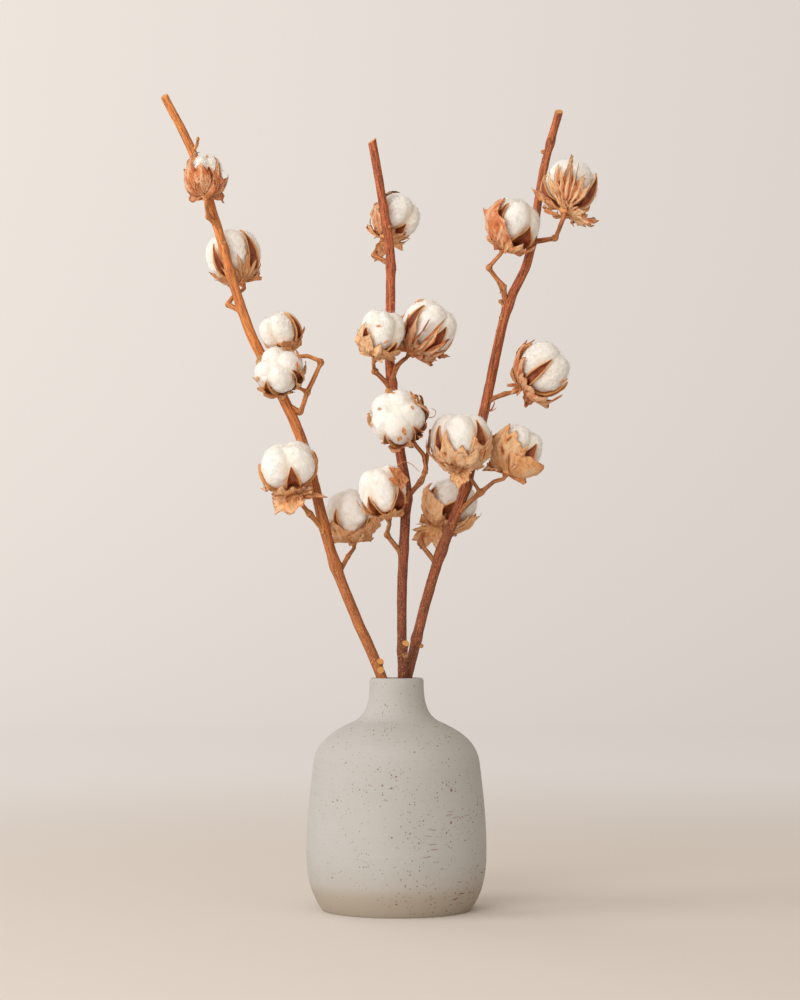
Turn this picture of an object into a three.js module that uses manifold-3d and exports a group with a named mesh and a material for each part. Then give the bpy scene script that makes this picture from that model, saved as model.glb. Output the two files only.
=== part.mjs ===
// Three dried cotton stems in a stoneware bottle vase.
// Millimetres, +Z up. The origin is the centre of the vase's flat base.
// -Y is the front of the arrangement and +X is its right.
import * as THREE from 'three';
import { mergeVertices } from 'three/addons/utils/BufferGeometryUtils.js';
import Module from 'manifold-3d';

const wasm = await Module();
wasm.setup();

// ---- Driving dimensions ----

const BASE_RADIUS = 56;
const BASE_CHAMFER = 0.6;
const BELLY_RADIUS = 67.5;
const BELLY_HEIGHT = 42;
const SHOULDER_RADIUS = 62.6;
const SHOULDER_HEIGHT = 109.5;
const COLLAR_RADIUS = 33;
const COLLAR_HEIGHT = 140;
const NECK_RADIUS = 20.3;
const NECK_START = 165;
const VASE_HEIGHT = 173;
const WALL = 4;
const FLOOR = 7;
const FLOOR_CORNER = 4;
const VASE_SIDES = 32;
const CURVE_STEPS = 3;

// Each stem's radius at its foot and at its top.
const LEFT_RADII = [4.1, 2.6];
const MIDDLE_RADII = [3.7, 2.9];
const RIGHT_RADII = [3.9, 2.6];
const STEM_SIDES = 8;
const STEM_STEPS = 18;
const STEM_BEND = 0.5;
const TWIG_SIDES = 6;
const STEPS_PER_TWIG_POINT = 2;
const TWIG_BEND = 0.15;
const BRANCH_RADIUS = 2.1;
const PEDICEL_RADIUS = 1.4;
const PEDICEL_GAP = 0.4;
const STRAIGHT_END = 4;
const BUD_RADII = [1.6, 1];
const BARE_TWIG_RADII = [1.7, 1.2];
const STUB_RADII = [2.9, 2.7];

// A boll stands on its base point: bracts outside, burr inside them, cotton inside the burr.
// Its three shells share their columns round the axis and their rings up it, so they nest.
const RINGS = 6;
const COLUMNS_PER_LOCK = 3;
const BRACT_COUNT = 3;
const COTTON_FLOOR = 3.5;
const COTTON_SHRINK = 1;
const GROOVE_DEPTH = 0.14;
const BURR_GAP = 0.6;
const BURR_THICKNESS = 0.9;
const BURR_NOTCH = 0.75;
const BURR_TIP = 1.6;
const BRACT_GAP = 1.0;
const BRACT_THICKNESS = 0.7;
const BRACT_NOTCH = 0.7;
const BRACT_TIP = 1.6;
const BRACT_POINT = 1.5;
const BRACT_FLARE = 1.2;
const CALYX_RADIUS = 3.2;
const CALYX_ANGLE = 0.25;

// ---- Materials ----

const finish = (color, roughness) => () =>
  new THREE.MeshStandardMaterial({ color, roughness, metalness: 0 });
const stoneware = finish(0xc6c2bb, 0.9);
const orangeBark = finish(0xb8743a, 0.6);
const redBark = finish(0x8a452c, 0.55);
const cottonWool = finish(0xf6f2ea, 1);
const huskBrown = finish(0x8a5a38, 0.8);
const driedLeaf = finish(0xb9804f, 0.85);

// ---- Closed meshes and solids ----

// Joins the shared vertices and drops the triangles that shrink to nothing at a pole.
function closed(geometry) {
  geometry.deleteAttribute('normal');
  geometry.deleteAttribute('uv');
  const merged = mergeVertices(geometry);
  const corners = merged.index.array;
  const kept = [];
  for (let i = 0; i < corners.length; i += 3) {
    const [a, b, c] = corners.slice(i, i + 3);
    if (a !== b && b !== c && c !== a) kept.push(a, b, c);
  }
  merged.setIndex(kept);
  return merged;
}

function toSolid(geometry) {
  const vertProperties = new Float32Array(geometry.attributes.position.array);
  const triVerts = new Uint32Array(geometry.index.array);
  return new wasm.Manifold(new wasm.Mesh({ numProp: 3, vertProperties, triVerts }));
}

function joined(geometries) {
  const sum = geometries.map(toSolid).reduce((whole, piece) => whole.add(piece));
  const mesh = sum.getMesh();
  const geometry = new THREE.BufferGeometry();
  geometry.setAttribute('position', new THREE.BufferAttribute(mesh.vertProperties, 3));
  geometry.setIndex(new THREE.BufferAttribute(mesh.triVerts, 1));
  return geometry;
}

function named(name, geometry, material) {
  const mesh = new THREE.Mesh(geometry, material);
  mesh.name = name;
  return mesh;
}

// ---- Vase ----

// The outside from the foot to the start of the neck, radius across and height up.
// Each curve's two middle points shape it: the first keeps the last curve's direction.
function vaseOutline() {
  const outline = new THREE.Path();
  outline.moveTo(BASE_RADIUS, BASE_CHAMFER);
  outline.bezierCurveTo(
    BASE_RADIUS + 6, 9, BELLY_RADIUS, 20, BELLY_RADIUS, BELLY_HEIGHT);
  outline.bezierCurveTo(
    BELLY_RADIUS, BELLY_HEIGHT + 28, SHOULDER_RADIUS + 2, SHOULDER_HEIGHT - 17.5,
    SHOULDER_RADIUS, SHOULDER_HEIGHT);
  outline.bezierCurveTo(
    SHOULDER_RADIUS - 2, SHOULDER_HEIGHT + 15, COLLAR_RADIUS + 16, COLLAR_HEIGHT - 7,
    COLLAR_RADIUS, COLLAR_HEIGHT);
  outline.bezierCurveTo(
    COLLAR_RADIUS - 9, COLLAR_HEIGHT + 4, NECK_RADIUS + 0.6, NECK_START - 12,
    NECK_RADIUS, NECK_START);
  return outline;
}

// Each inner point of an outline, moved towards the axis by the wall's thickness.
function inside(points) {
  return points.slice(1, -1).map((point, i) => {
    const along = points[i + 2].clone().sub(points[i]).normalize();
    return new THREE.Vector2(point.x - along.y * WALL, point.y + along.x * WALL);
  });
}

function vaseGeometry() {
  const outer = vaseOutline().getPoints(CURVE_STEPS);
  const inner = inside(outer).filter((point) => point.y > FLOOR + FLOOR_CORNER).reverse();
  const floorRadius = inner.at(-1).x - FLOOR_CORNER;
  const rim = new THREE.Path();
  rim.absarc(NECK_RADIUS - WALL / 2, VASE_HEIGHT - WALL / 2, WALL / 2, 0, Math.PI, false);
  const profile = [
    new THREE.Vector2(0, 0),
    new THREE.Vector2(BASE_RADIUS - BASE_CHAMFER, 0),
    ...outer,
    ...rim.getPoints(CURVE_STEPS),
    new THREE.Vector2(NECK_RADIUS - WALL, NECK_START),
    ...inner,
    new THREE.Vector2(floorRadius, FLOOR),
    new THREE.Vector2(0, FLOOR),
  ];
  const vase = new THREE.LatheGeometry(profile, VASE_SIDES);
  vase.rotateX(Math.PI / 2);
  return closed(vase);
}

// ---- Stems and twigs ----

const vectors = (points) => points.map((point) => new THREE.Vector3(...point));

// A tapered round rod along a smooth route, closed by a flat cut at each end.
function rod(points, radii, sides, steps, bend) {
  const curve = new THREE.CatmullRomCurve3(vectors(points), false, 'catmullrom', bend);
  const frames = curve.computeFrenetFrames(steps, false);
  const bar = new THREE.CylinderGeometry(1, 1, steps, sides, steps);
  bar.translate(0, steps / 2, 0);
  bar.rotateX(Math.PI / 2);
  const position = bar.attributes.position;
  for (let i = 0; i < position.count; i++) {
    const step = Math.round(position.getZ(i));
    const share = step / steps;
    const radius = THREE.MathUtils.lerp(...radii, share);
    const place = curve.getPointAt(share);
    place.addScaledVector(frames.normals[step], radius * position.getX(i));
    place.addScaledVector(frames.binormals[step], radius * position.getY(i));
    position.setXYZ(i, place.x, place.y, place.z);
  }
  return closed(bar);
}

function twig(points, radii) {
  const steps = (points.length - 1) * STEPS_PER_TWIG_POINT;
  return rod(points, radii, TWIG_SIDES, steps, TWIG_BEND);
}

// A pedicel comes up to its boll's base along the boll's axis and stops just short of it.
function pedicel(points, boll, startRadius = BRANCH_RADIUS) {
  const base = new THREE.Vector3(...boll.base);
  const aim = new THREE.Vector3(...boll.aim).normalize();
  const end = base.clone().addScaledVector(aim, -PEDICEL_GAP);
  const before = end.clone().addScaledVector(aim, -STRAIGHT_END);
  return twig([...points, before.toArray(), end.toArray()], [startRadius, PEDICEL_RADIUS]);
}

function stemGeometry(route, radii, growths) {
  return joined([rod(route, radii, STEM_SIDES, STEM_STEPS, STEM_BEND), ...growths]);
}

// ---- Bolls ----

// base: where the pedicel ends. aim: from the base to the tip. radius and rise: half the
// cotton's width and height. turn: degrees from the front to the first burr valve.
// leafShift: columns from that valve to the first bract.
const BOLLS = {
  L1: { base: [-146, 10, 539], aim: [-0.05, 0.2, 0.97], radius: 14.5, rise: 15,
    locks: 4, turn: 20, leafShift: -2 },
  L2: { base: [-121, 58, 480], aim: [-0.3, 0, 0.95], radius: 22.5, rise: 19.5,
    locks: 4, turn: 50, leafShift: -1 },
  L3: { base: [-81, 20, 422], aim: [-0.45, -0.2, 0.87], radius: 16.5, rise: 14.5,
    locks: 4, turn: 60, leafShift: 1 },
  L4: { base: [-86, 8, 398], aim: [-0.15, -0.92, 0.33], radius: 19, rise: 16,
    locks: 4, turn: 40, leafShift: 1 },
  L5: { base: [-77, -7, 313], aim: [-0.2, -0.3, 0.93], radius: 23.5, rise: 17.5,
    locks: 4, turn: 0, leafShift: -1 },
  L6: { base: [-33, 34, 276], aim: [-0.05, -0.2, 0.97], radius: 21, rise: 19,
    locks: 4, turn: -45, leafShift: 0 },
  M1: { base: [-10, 10, 508], aim: [0.5, 0.2, 0.84], radius: 18, rise: 16.5,
    locks: 4, turn: 45, leafShift: -4 },
  M2: { base: [-16, -34, 411], aim: [0.25, -0.25, 0.93], radius: 17, rise: 17,
    locks: 4, turn: -35, leafShift: 0 },
  M3: { base: [10, -13, 417], aim: [0.6, -0.05, 0.8], radius: 21.5, rise: 20,
    locks: 5, turn: 36, leafShift: -2 },
  M4: { base: [5, -26, 358], aim: [-0.2, -0.92, 0.33], radius: 21.5, rise: 19,
    locks: 5, turn: 20, leafShift: 0 },
  M5: { base: [-6, -28, 292], aim: [-0.2, -0.2, 0.95], radius: 18, rise: 18,
    locks: 4, turn: 45, leafShift: 0 },
  R1: { base: [125, -38, 519], aim: [0.2, 0.4, 0.9], radius: 21, rise: 19,
    locks: 5, turn: 60, leafShift: -2 },
  R2: { base: [79.5, -26, 494], aim: [0.38, -0.3, 0.87], radius: 20, rise: 18,
    locks: 4, turn: 45, leafShift: 0 },
  R3: { base: [93.5, -6, 391.5], aim: [0.75, -0.1, 0.65], radius: 21.5, rise: 19,
    locks: 4, turn: 0, leafShift: 2 },
  R4: { base: [49, -30, 328], aim: [-0.05, -0.15, 0.98], radius: 23, rise: 19.5,
    locks: 4, turn: 40, leafShift: -1 },
  R5: { base: [82, -16, 326], aim: [0.42, 0.2, 0.88], radius: 18.5, rise: 17.5,
    locks: 4, turn: 30, leafShift: -3 },
  R6: { base: [31.5, 24, 286], aim: [0.5, 0.1, 0.86], radius: 20, rise: 18.5,
    locks: 5, turn: 10, leafShift: 1 },
};

// The boll's own frame: z along its axis, x towards the front of the arrangement.
function bollQuaternion(boll) {
  const z = new THREE.Vector3(...boll.aim).normalize();
  const front = new THREE.Vector3(0, -1, 0);
  const x = front.addScaledVector(z, -front.dot(z)).normalize();
  const y = new THREE.Vector3().crossVectors(z, x);
  return new THREE.Quaternion().setFromRotationMatrix(new THREE.Matrix4().makeBasis(x, y, z));
}

// A point of the egg-shaped shell that lies `offset` outside the cotton, `angle` up from its
// lowest point and `turn` round the axis.
function shellPoint(boll, offset, angle, turn) {
  const across = (boll.radius - COTTON_SHRINK + offset) * Math.sin(angle);
  const up = COTTON_FLOOR + boll.rise - (boll.rise - COTTON_SHRINK + offset) * Math.cos(angle);
  return [across * Math.cos(turn), across * Math.sin(turn), up];
}

const columnsOf = (boll) => boll.locks * COLUMNS_PER_LOCK;

// Lobes between the valves, with a groove in line with each valve.
function cottonGeometry(boll) {
  const ball = new THREE.SphereGeometry(1, columnsOf(boll), RINGS);
  ball.rotateX(-Math.PI / 2);
  ball.rotateZ(Math.PI);
  const position = ball.attributes.position;
  for (let i = 0; i < position.count; i++) {
    const turn = Math.atan2(position.getY(i), position.getX(i));
    const angle = Math.acos(THREE.MathUtils.clamp(-position.getZ(i), -1, 1));
    const fullness = Math.abs(Math.sin(turn * boll.locks / 2));
    const inset = GROOVE_DEPTH * (1 - fullness) * boll.radius;
    position.setXYZ(i, ...shellPoint(boll, -inset * Math.sin(angle), angle, turn));
  }
  return closed(ball);
}

// A cup with a scalloped edge. Its rows run up the outside, over the edge and down the inside.
function cupGeometry(boll, rows, place) {
  const columns = columnsOf(boll);
  const template = rows.map((row, i) => new THREE.Vector2(1, i));
  const cup = new THREE.LatheGeometry(template, columns);
  const position = cup.attributes.position;
  for (let i = 0; i < position.count; i++) {
    const column = Math.floor(i / rows.length) % columns;
    const turn = 2 * Math.PI * column / columns;
    position.setXYZ(i, ...place(rows[i % rows.length], turn));
  }
  return closed(cup);
}

// The rings of a cup's wall: the last one is always its edge.
function wall(angles, outer, inner) {
  const edged = [...angles, Infinity];
  return [
    ...edged.map((angle) => ({ angle, offset: outer })),
    ...edged.slice(1).reverse().map((angle) => ({ angle, offset: inner })),
    { angle: 0, offset: inner },
  ];
}

// How far `turn` is from the middle of the nearest of `count` equal parts, from 0 to 1.
function awayFromMiddle(turn, count) {
  const part = turn * count / (2 * Math.PI);
  return 2 * Math.abs(part - Math.round(part));
}

function burrGeometry(boll) {
  const ring = Math.PI / RINGS;
  const rows = wall([0, ring, 2 * ring], BURR_GAP + BURR_THICKNESS, BURR_GAP);
  return cupGeometry(boll, rows, ({ angle, offset }, turn) => {
    const onValve = awayFromMiddle(turn, boll.locks) < 1 / COLUMNS_PER_LOCK;
    const reach = onValve ? BURR_TIP : BURR_NOTCH;
    return shellPoint(boll, offset, Math.min(angle, reach), turn);
  });
}

function bractsGeometry(boll) {
  const ring = Math.PI / RINGS;
  const inner = BURR_GAP + BURR_THICKNESS + BRACT_GAP;
  const calyx = [{ foot: 0 }, { foot: CALYX_RADIUS }];
  const rows = [...calyx, ...wall([CALYX_ANGLE, ring, 2 * ring], inner + BRACT_THICKNESS, inner)];
  return cupGeometry(boll, rows, ({ foot, angle, offset }, turn) => {
    if (foot !== undefined) return [foot * Math.cos(turn), foot * Math.sin(turn), 0];
    const fullness = 1 - awayFromMiddle(turn, BRACT_COUNT) ** BRACT_POINT;
    const reach = THREE.MathUtils.lerp(BRACT_NOTCH, BRACT_TIP, fullness);
    const height = Math.min(angle, reach);
    const flare = BRACT_FLARE * fullness * (height / BRACT_TIP) ** 2;
    return shellPoint(boll, offset + flare, height, turn);
  });
}

function bollGroup(key, boll) {
  const cotton = named(`boll_${key}_cotton`, cottonGeometry(boll), cottonWool());
  const burr = named(`boll_${key}_burr`, burrGeometry(boll), huskBrown());
  const bracts = named(`boll_${key}_bracts`, bractsGeometry(boll), driedLeaf());
  const column = 2 * Math.PI / columnsOf(boll);
  cotton.rotation.z = THREE.MathUtils.degToRad(boll.turn);
  burr.rotation.z = cotton.rotation.z;
  bracts.rotation.z = cotton.rotation.z + boll.leafShift * column;
  const whole = new THREE.Group();
  whole.add(cotton, burr, bracts);
  whole.quaternion.copy(bollQuaternion(boll));
  whole.position.set(...boll.base);
  return whole;
}

// ---- The three stems, from the cut foot in the vase to the cut top ----

const LEFT_ROUTE = [
  [49, -24, 16], [-11, -3, 173], [-31, 5, 219], [-50, 11, 269], [-72, 17, 352],
  [-98, 21, 408], [-112, 23, 436], [-125, 27, 473], [-139, 31, 521], [-158, 36, 578],
  [-181, 38, 624],
];
const MIDDLE_ROUTE = [
  [7, 18, 9], [4.5, -4.5, 173], [4, -9, 233], [6.5, -13, 291], [7.5, -14, 314],
  [3, -14.5, 341], [-1, -15, 374], [-5, -15, 409], [-4.5, -14, 463], [-5, -13, 495],
  [-12, -11.5, 541], [-18.5, -10, 579],
];
const RIGHT_ROUTE = [
  [-33, 18, 9], [8, 6, 173], [16, 4, 206], [23, 2.5, 233], [34, 1, 269], [49, -2, 307],
  [56, -4, 332], [67, -6, 378], [83, -9, 450], [99, -10, 487], [107, -10.5, 532],
  [112, -11, 560], [123, -12, 601],
];

function leftStem() {
  const fork = [-68, 12, 390];
  return stemGeometry(LEFT_ROUTE, LEFT_RADII, [
    pedicel([[-139, 31, 521], [-145, 24, 527]], BOLLS.L1),
    pedicel([[-119, 25, 453], [-130, 32, 460], [-127, 41, 467]], BOLLS.L2),
    pedicel([[-87, 19, 384], [-74, 18, 375], fork, [-58, 13, 413], [-68, 16, 418]], BOLLS.L3),
    pedicel([fork, [-74, 12, 393]], BOLLS.L4, PEDICEL_RADIUS),
    pedicel([[-55, 12, 284], [-66, 6, 297]], BOLLS.L5),
    pedicel([[-44, 9, 252], [-37, 20, 265]], BOLLS.L6),
    twig([[-159, 36, 579], [-155, 34, 585], [-154, 33, 591]], BUD_RADII),
    twig([[-14, -1.5, 180], [-12, -8, 185.5]], STUB_RADII),
  ]);
}

function middleStem() {
  return stemGeometry(MIDDLE_ROUTE, MIDDLE_RADII, [
    pedicel([[-5, -13, 485], [-17, -2, 493]], BOLLS.M1),
    pedicel([[-5, -15, 392], [-16, -25, 402]], BOLLS.M2),
    pedicel([[-5, -15, 391], [0, -22, 406], [5, -20, 411]], BOLLS.M3),
    pedicel([[6, -13.5, 306], [18, -17, 320], [22, -19, 329], [20, -20, 340]], BOLLS.M4),
    pedicel([[4, -11.5, 266], [-7, -19, 280]], BOLLS.M5),
    twig([[21, -18.5, 326], [26, -18, 359]], BARE_TWIG_RADII),
    twig([[-8, -12, 512], [-4, -16, 513]], BUD_RADII),
    twig([[-4.5, -13.5, 479], [0, -14, 480.5]], BUD_RADII),
    twig([[5, -6, 194], [7, -12, 199]], STUB_RADII),
  ]);
}

function rightStem() {
  const fork = [63, -11, 312];
  return stemGeometry(RIGHT_ROUTE, RIGHT_RADII, [
    pedicel([[103, -10, 502], [119, -22, 503]], BOLLS.R1),
    pedicel([[83, -9, 450], [80, -14, 467], [69.5, -19, 481]], BOLLS.R2),
    pedicel([[69, -6.5, 382], [82, -6, 387]], BOLLS.R3),
    pedicel([fork, [56, -22, 321]], BOLLS.R4, PEDICEL_RADIUS),
    pedicel([[48, -2, 299], fork, [73, -15, 320]], BOLLS.R5),
    pedicel([[30, 1.5, 259], [18, 9, 275], [20, 17, 281]], BOLLS.R6),
    twig([[114, -11, 569], [109, -12, 571]], BUD_RADII),
    twig([[68, -6, 375], [74, -7, 376]], BUD_RADII),
    twig([[15, 4, 197], [20.5, 2.5, 197]], BUD_RADII),
  ]);
}

// ---- The whole arrangement ----

const arrangement = new THREE.Group();
arrangement.add(
  named('vase', vaseGeometry(), stoneware()),
  named('stem_left', leftStem(), orangeBark()),
  named('stem_middle', middleStem(), redBark()),
  named('stem_right', rightStem(), redBark()),
);
for (const [key, boll] of Object.entries(BOLLS)) arrangement.add(bollGroup(key, boll));

export default arrangement;
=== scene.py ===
# Three dried cotton stems in a stoneware bottle vase.
# Tables and shapes are in millimetres in the part's frame: +Z up, -Y the front, +X the right.
# make_piece turns them into metres.
import math

import bmesh
import bpy
import numpy as np
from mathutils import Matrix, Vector, noise


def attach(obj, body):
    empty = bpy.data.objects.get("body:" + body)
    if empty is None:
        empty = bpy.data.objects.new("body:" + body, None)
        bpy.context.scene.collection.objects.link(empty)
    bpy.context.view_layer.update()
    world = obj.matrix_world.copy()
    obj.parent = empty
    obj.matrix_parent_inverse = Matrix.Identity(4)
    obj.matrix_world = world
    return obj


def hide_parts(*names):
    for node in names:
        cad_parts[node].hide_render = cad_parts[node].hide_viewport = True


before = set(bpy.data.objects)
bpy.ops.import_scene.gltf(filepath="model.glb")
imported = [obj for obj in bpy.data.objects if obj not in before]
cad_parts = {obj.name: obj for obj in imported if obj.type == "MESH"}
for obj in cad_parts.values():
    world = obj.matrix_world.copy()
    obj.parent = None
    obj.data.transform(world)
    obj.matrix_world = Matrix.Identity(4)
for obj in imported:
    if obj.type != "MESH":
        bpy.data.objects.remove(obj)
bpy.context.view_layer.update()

MM = 0.001
FRONT = np.array((0.0, -1.0, 0.0))
UP = np.array((0.0, 0.0, 1.0))
# Without a seed of its own, noise_vector would take one from the clock.
noise.seed_set(1)


# ---- Meshes ----

class Shape:
    """Vertices in millimetres, faces, and values per vertex, gathered from several closed parts."""

    def __init__(self, fields):
        self.fields = fields
        self.points = []
        self.values = {name: [] for name in fields}
        self.faces = []
        self.slots = []
        self.count = 0

    def add(self, points, faces, slots=0, **values):
        """faces is a list of integer arrays, each of faces with as many corners as it has columns.
        slots is one material index, or one for each of those arrays."""
        each = slots if isinstance(slots, (list, tuple)) else [slots] * len(faces)
        for block, slot in zip(faces, each):
            if len(block):
                self.faces.append(np.asarray(block) + self.count)
                self.slots.append(slot)
        for name, width in self.fields.items():
            value = values.get(name, 0.0)
            full = np.zeros((len(points), width))
            full[:] = np.asarray(value).reshape(-1, width) if np.ndim(value) else value
            self.values[name].append(full)
        self.points.append(points)
        self.count += len(points)


def new_mesh(name, shape):
    """The shape as a smooth mesh in metres, with its values as attributes."""
    mesh = bpy.data.meshes.new(name)
    points = np.concatenate(shape.points) * MM
    sizes = np.concatenate([np.full(len(b), b.shape[1]) for b in shape.faces])
    corners = np.concatenate([b.ravel() for b in shape.faces])
    places = np.concatenate([np.full(len(b), s) for b, s in zip(shape.faces, shape.slots)])
    mesh.vertices.add(len(points))
    mesh.vertices.foreach_set("co", points.ravel())
    mesh.loops.add(len(corners))
    mesh.loops.foreach_set("vertex_index", corners.astype(np.int32))
    mesh.polygons.add(len(sizes))
    mesh.polygons.foreach_set("loop_start", (np.cumsum(sizes) - sizes).astype(np.int32))
    mesh.polygons.foreach_set("material_index", places.astype(np.int32))
    mesh.update(calc_edges=True)
    mesh.polygons.foreach_set("use_smooth", np.ones(len(sizes), dtype=bool))
    for field, width in shape.fields.items():
        kind = "FLOAT" if width == 1 else "FLOAT_VECTOR"
        layer = mesh.attributes.new(field, kind, "POINT")
        data = np.concatenate(shape.values[field]).ravel().astype(np.float32)
        layer.data.foreach_set("value" if width == 1 else "vector", data)
    return mesh


def new_object(name, data):
    made = bpy.data.objects.new(name, data)
    bpy.context.scene.collection.objects.link(made)
    return made


def make_piece(name, shape, materials, node, sharp=None):
    """An object that rides on the root and stands for one node. Edges over the angle `sharp` are sharp."""
    mesh = new_mesh(name, shape)
    if sharp:
        mesh.set_sharp_from_angle(angle=sharp)
    mesh.validate()
    for material in materials:
        mesh.materials.append(material)
    piece = new_object(name, mesh)
    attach(piece, "root")
    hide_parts(node)


def grid_faces(rows, columns, closed=False):
    """Quads of a grid whose vertices run along its rows. closed: its last column joins its first."""
    row = np.arange(rows - 1)[:, None] * columns
    c = np.arange(columns if closed else columns - 1)[None, :]
    ahead = (c + 1) % columns
    above = row + columns
    return np.stack([row + c, row + ahead, above + ahead, above + c], axis=-1).reshape(-1, 4)


def circle(sides):
    """Unit directions round the Z axis."""
    turn = np.linspace(0, 2 * math.pi, sides, endpoint=False)
    return np.stack([np.cos(turn), np.sin(turn), np.zeros(sides)], axis=1)


def lathe(profile, sides):
    """A grid with one row of points for each radius and height of the profile."""
    return profile[:, None, :1] * circle(sides) + profile[:, None, 1:] * UP


def lathe_faces(rows, sides):
    """The side of a lathed solid, and its two ends, each a fan to one of the two points after the grid."""
    first = np.arange(sides)
    last = first + (rows - 1) * sides
    middle = np.full(sides, rows * sides)
    under = np.stack([np.roll(first, -1), first, middle], axis=1)
    over = np.stack([last, np.roll(last, -1), middle + 1], axis=1)
    return [grid_faces(rows, sides, closed=True), under, over]


def unit(v):
    return v / np.maximum(np.linalg.norm(v, axis=-1, keepdims=True), 1e-9)


def smooth(low, high, x):
    t = np.clip((x - low) / (high - low), 0, 1)
    return t * t * (3 - 2 * t)


def field_noise(points, size, seed=0.0, octaves=3):
    """Fractal noise, about -1 to 1, whose lumps are about `size` across."""
    shift = Vector((seed * 17.3, seed * 7.1, seed * 3.7))
    scaled = points.reshape(-1, 3) / size
    found = [noise.fractal(Vector(p) + shift, 0.9, 2.1, octaves) for p in scaled.tolist()]
    return np.array(found).reshape(points.shape[:-1])


def grid_normals(grid):
    return unit(np.cross(np.gradient(grid, axis=0), np.gradient(grid, axis=1)))


def add_sheet(shape, outer, thickness, **values):
    """A thin closed solid. outer is a grid of points whose normals face out, thickness is in millimetres."""
    rows, columns = outer.shape[:2]
    inner = outer - grid_normals(outer) * np.broadcast_to(thickness, outer.shape[:2])[..., None]
    points = np.concatenate([outer.reshape(-1, 3), inner.reshape(-1, 3)])
    count = rows * columns
    top = grid_faces(rows, columns)[:, ::-1]
    bottom = top[:, ::-1] + count
    index = np.arange(count).reshape(rows, columns)
    loop = np.concatenate([index[0, :-1], index[:-1, -1], index[-1, :0:-1], index[:0:-1, 0]])
    ahead = np.roll(loop, -1)
    side = np.stack([loop, ahead, ahead + count, loop + count], axis=-1)
    doubled = {name: np.concatenate([np.reshape(v, (count, -1))] * 2) for name, v in values.items()}
    doubled["inner"] = np.repeat([0.0, 1.0], count)
    shape.add(points, [top, bottom, side], **doubled)


# ---- Tubes ----

SPAN_STEPS = 24
CUT_RINGS = (0.72, 0.36)
# The side of a stem that faces the lamps, to the front left. Away from it the bark gets painted shade.
LIT_SIDE = unit(np.array((-0.9, -0.45, 0.0)))
RIDGE_SIZE = 1.6
LUMP_SIZE = 5.0
LUMP_SHARE = 2.2
SLANT_LENGTH = 6.0


def hermite(points, bend):
    """Catmull-Rom through the points, as three.js draws it."""
    p = np.asarray(points, float)
    p = np.vstack([2 * p[0] - p[1], p, 2 * p[-1] - p[-2]])
    t = np.linspace(0, 1, SPAN_STEPS, endpoint=False)[:, None]
    spans = []
    for a, b, c, d in zip(p, p[1:], p[2:], p[3:]):
        out, into = bend * (c - a), bend * (d - b)
        square = 3 * (c - b) - 2 * out - into
        cube = 2 * (b - c) + out + into
        spans.append(b + out * t + square * t ** 2 + cube * t ** 3)
    return np.vstack([*spans, p[-2:-1]])


def even(line, step):
    """The line's points at equal steps of about `step`, and how far along it each one is."""
    lengths = np.concatenate([[0], np.cumsum(np.linalg.norm(np.diff(line, axis=0), axis=1))])
    count = max(4, int(round(lengths[-1] / step)))
    marks = np.linspace(0, lengths[-1], count + 1)
    return np.stack([np.interp(marks, lengths, line[:, k]) for k in range(3)], axis=1), marks


def carried_frames(line):
    """The line's direction at each point, and two directions across it, carried along without twisting."""
    tangents = unit(np.gradient(line, axis=0))
    first = np.cross(tangents[0], (0.31, 0.83, 0.46))
    sides = [first / np.linalg.norm(first)]
    for tangent in tangents[1:]:
        side = sides[-1] - tangent * np.dot(sides[-1], tangent)
        sides.append(side / np.linalg.norm(side))
    sides = np.array(sides)
    return tangents, sides, np.cross(tangents, sides)


def tube_radius(marks, radii, swells, round_tip):
    """The radius at each mark."""
    length = marks[-1]
    radius = radii[0] + (radii[1] - radii[0]) * marks / length
    for place, height, half in swells:
        centre = place if place >= 0 else length + place
        radius = radius + height * np.exp(-((marks - centre) / half) ** 2)
    if round_tip:
        left = np.clip((length - marks) / round_tip, 0, 1)
        radius = radius * np.sqrt(np.clip(1 - (1 - left) ** 2, 0.02, 1))
    return radius


def tube_end(rim, points, grain, count, flip):
    """A flat end: rings inside the rim, and a fan to the middle. rim holds the rim's vertex numbers,
    points and grain its values there, and count is the first new vertex's number."""
    middle = points.mean(axis=0)
    more_points, more_grain, faces = [], [], []
    for share in CUT_RINGS:
        ring = count + np.arange(len(rim))
        more_points.append(middle + (points - middle) * share)
        more_grain.append(grain * (share, share, 1))
        faces.append(np.stack([rim, np.roll(rim, -1), np.roll(ring, -1), ring], axis=1))
        count += len(rim)
        rim = ring
    more_points.append(middle[None])
    more_grain.append(grain.mean(axis=0)[None])
    faces.append(np.stack([rim, np.roll(rim, -1), np.full(len(rim), count)], axis=1))
    return more_points, more_grain, [block[:, ::-1] if flip else block for block in faces]


def closed_tube(grid, coords):
    """The points and the grain of a tube with closed ends, and its faces: those of the side come first."""
    rows, sides = grid.shape[:2]
    points, grain = [grid.reshape(-1, 3)], [coords.reshape(-1, 3)]
    faces = [grid_faces(rows, sides, closed=True)]
    for row in (0, rows - 1):
        rim = row * sides + np.arange(sides)
        count = sum(len(block) for block in points)
        end = tube_end(rim, grid[row], coords[row], count, flip=row == 0)
        points += end[0]
        grain += end[1]
        faces += end[2]
    return np.concatenate(points), np.concatenate(grain), faces


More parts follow.
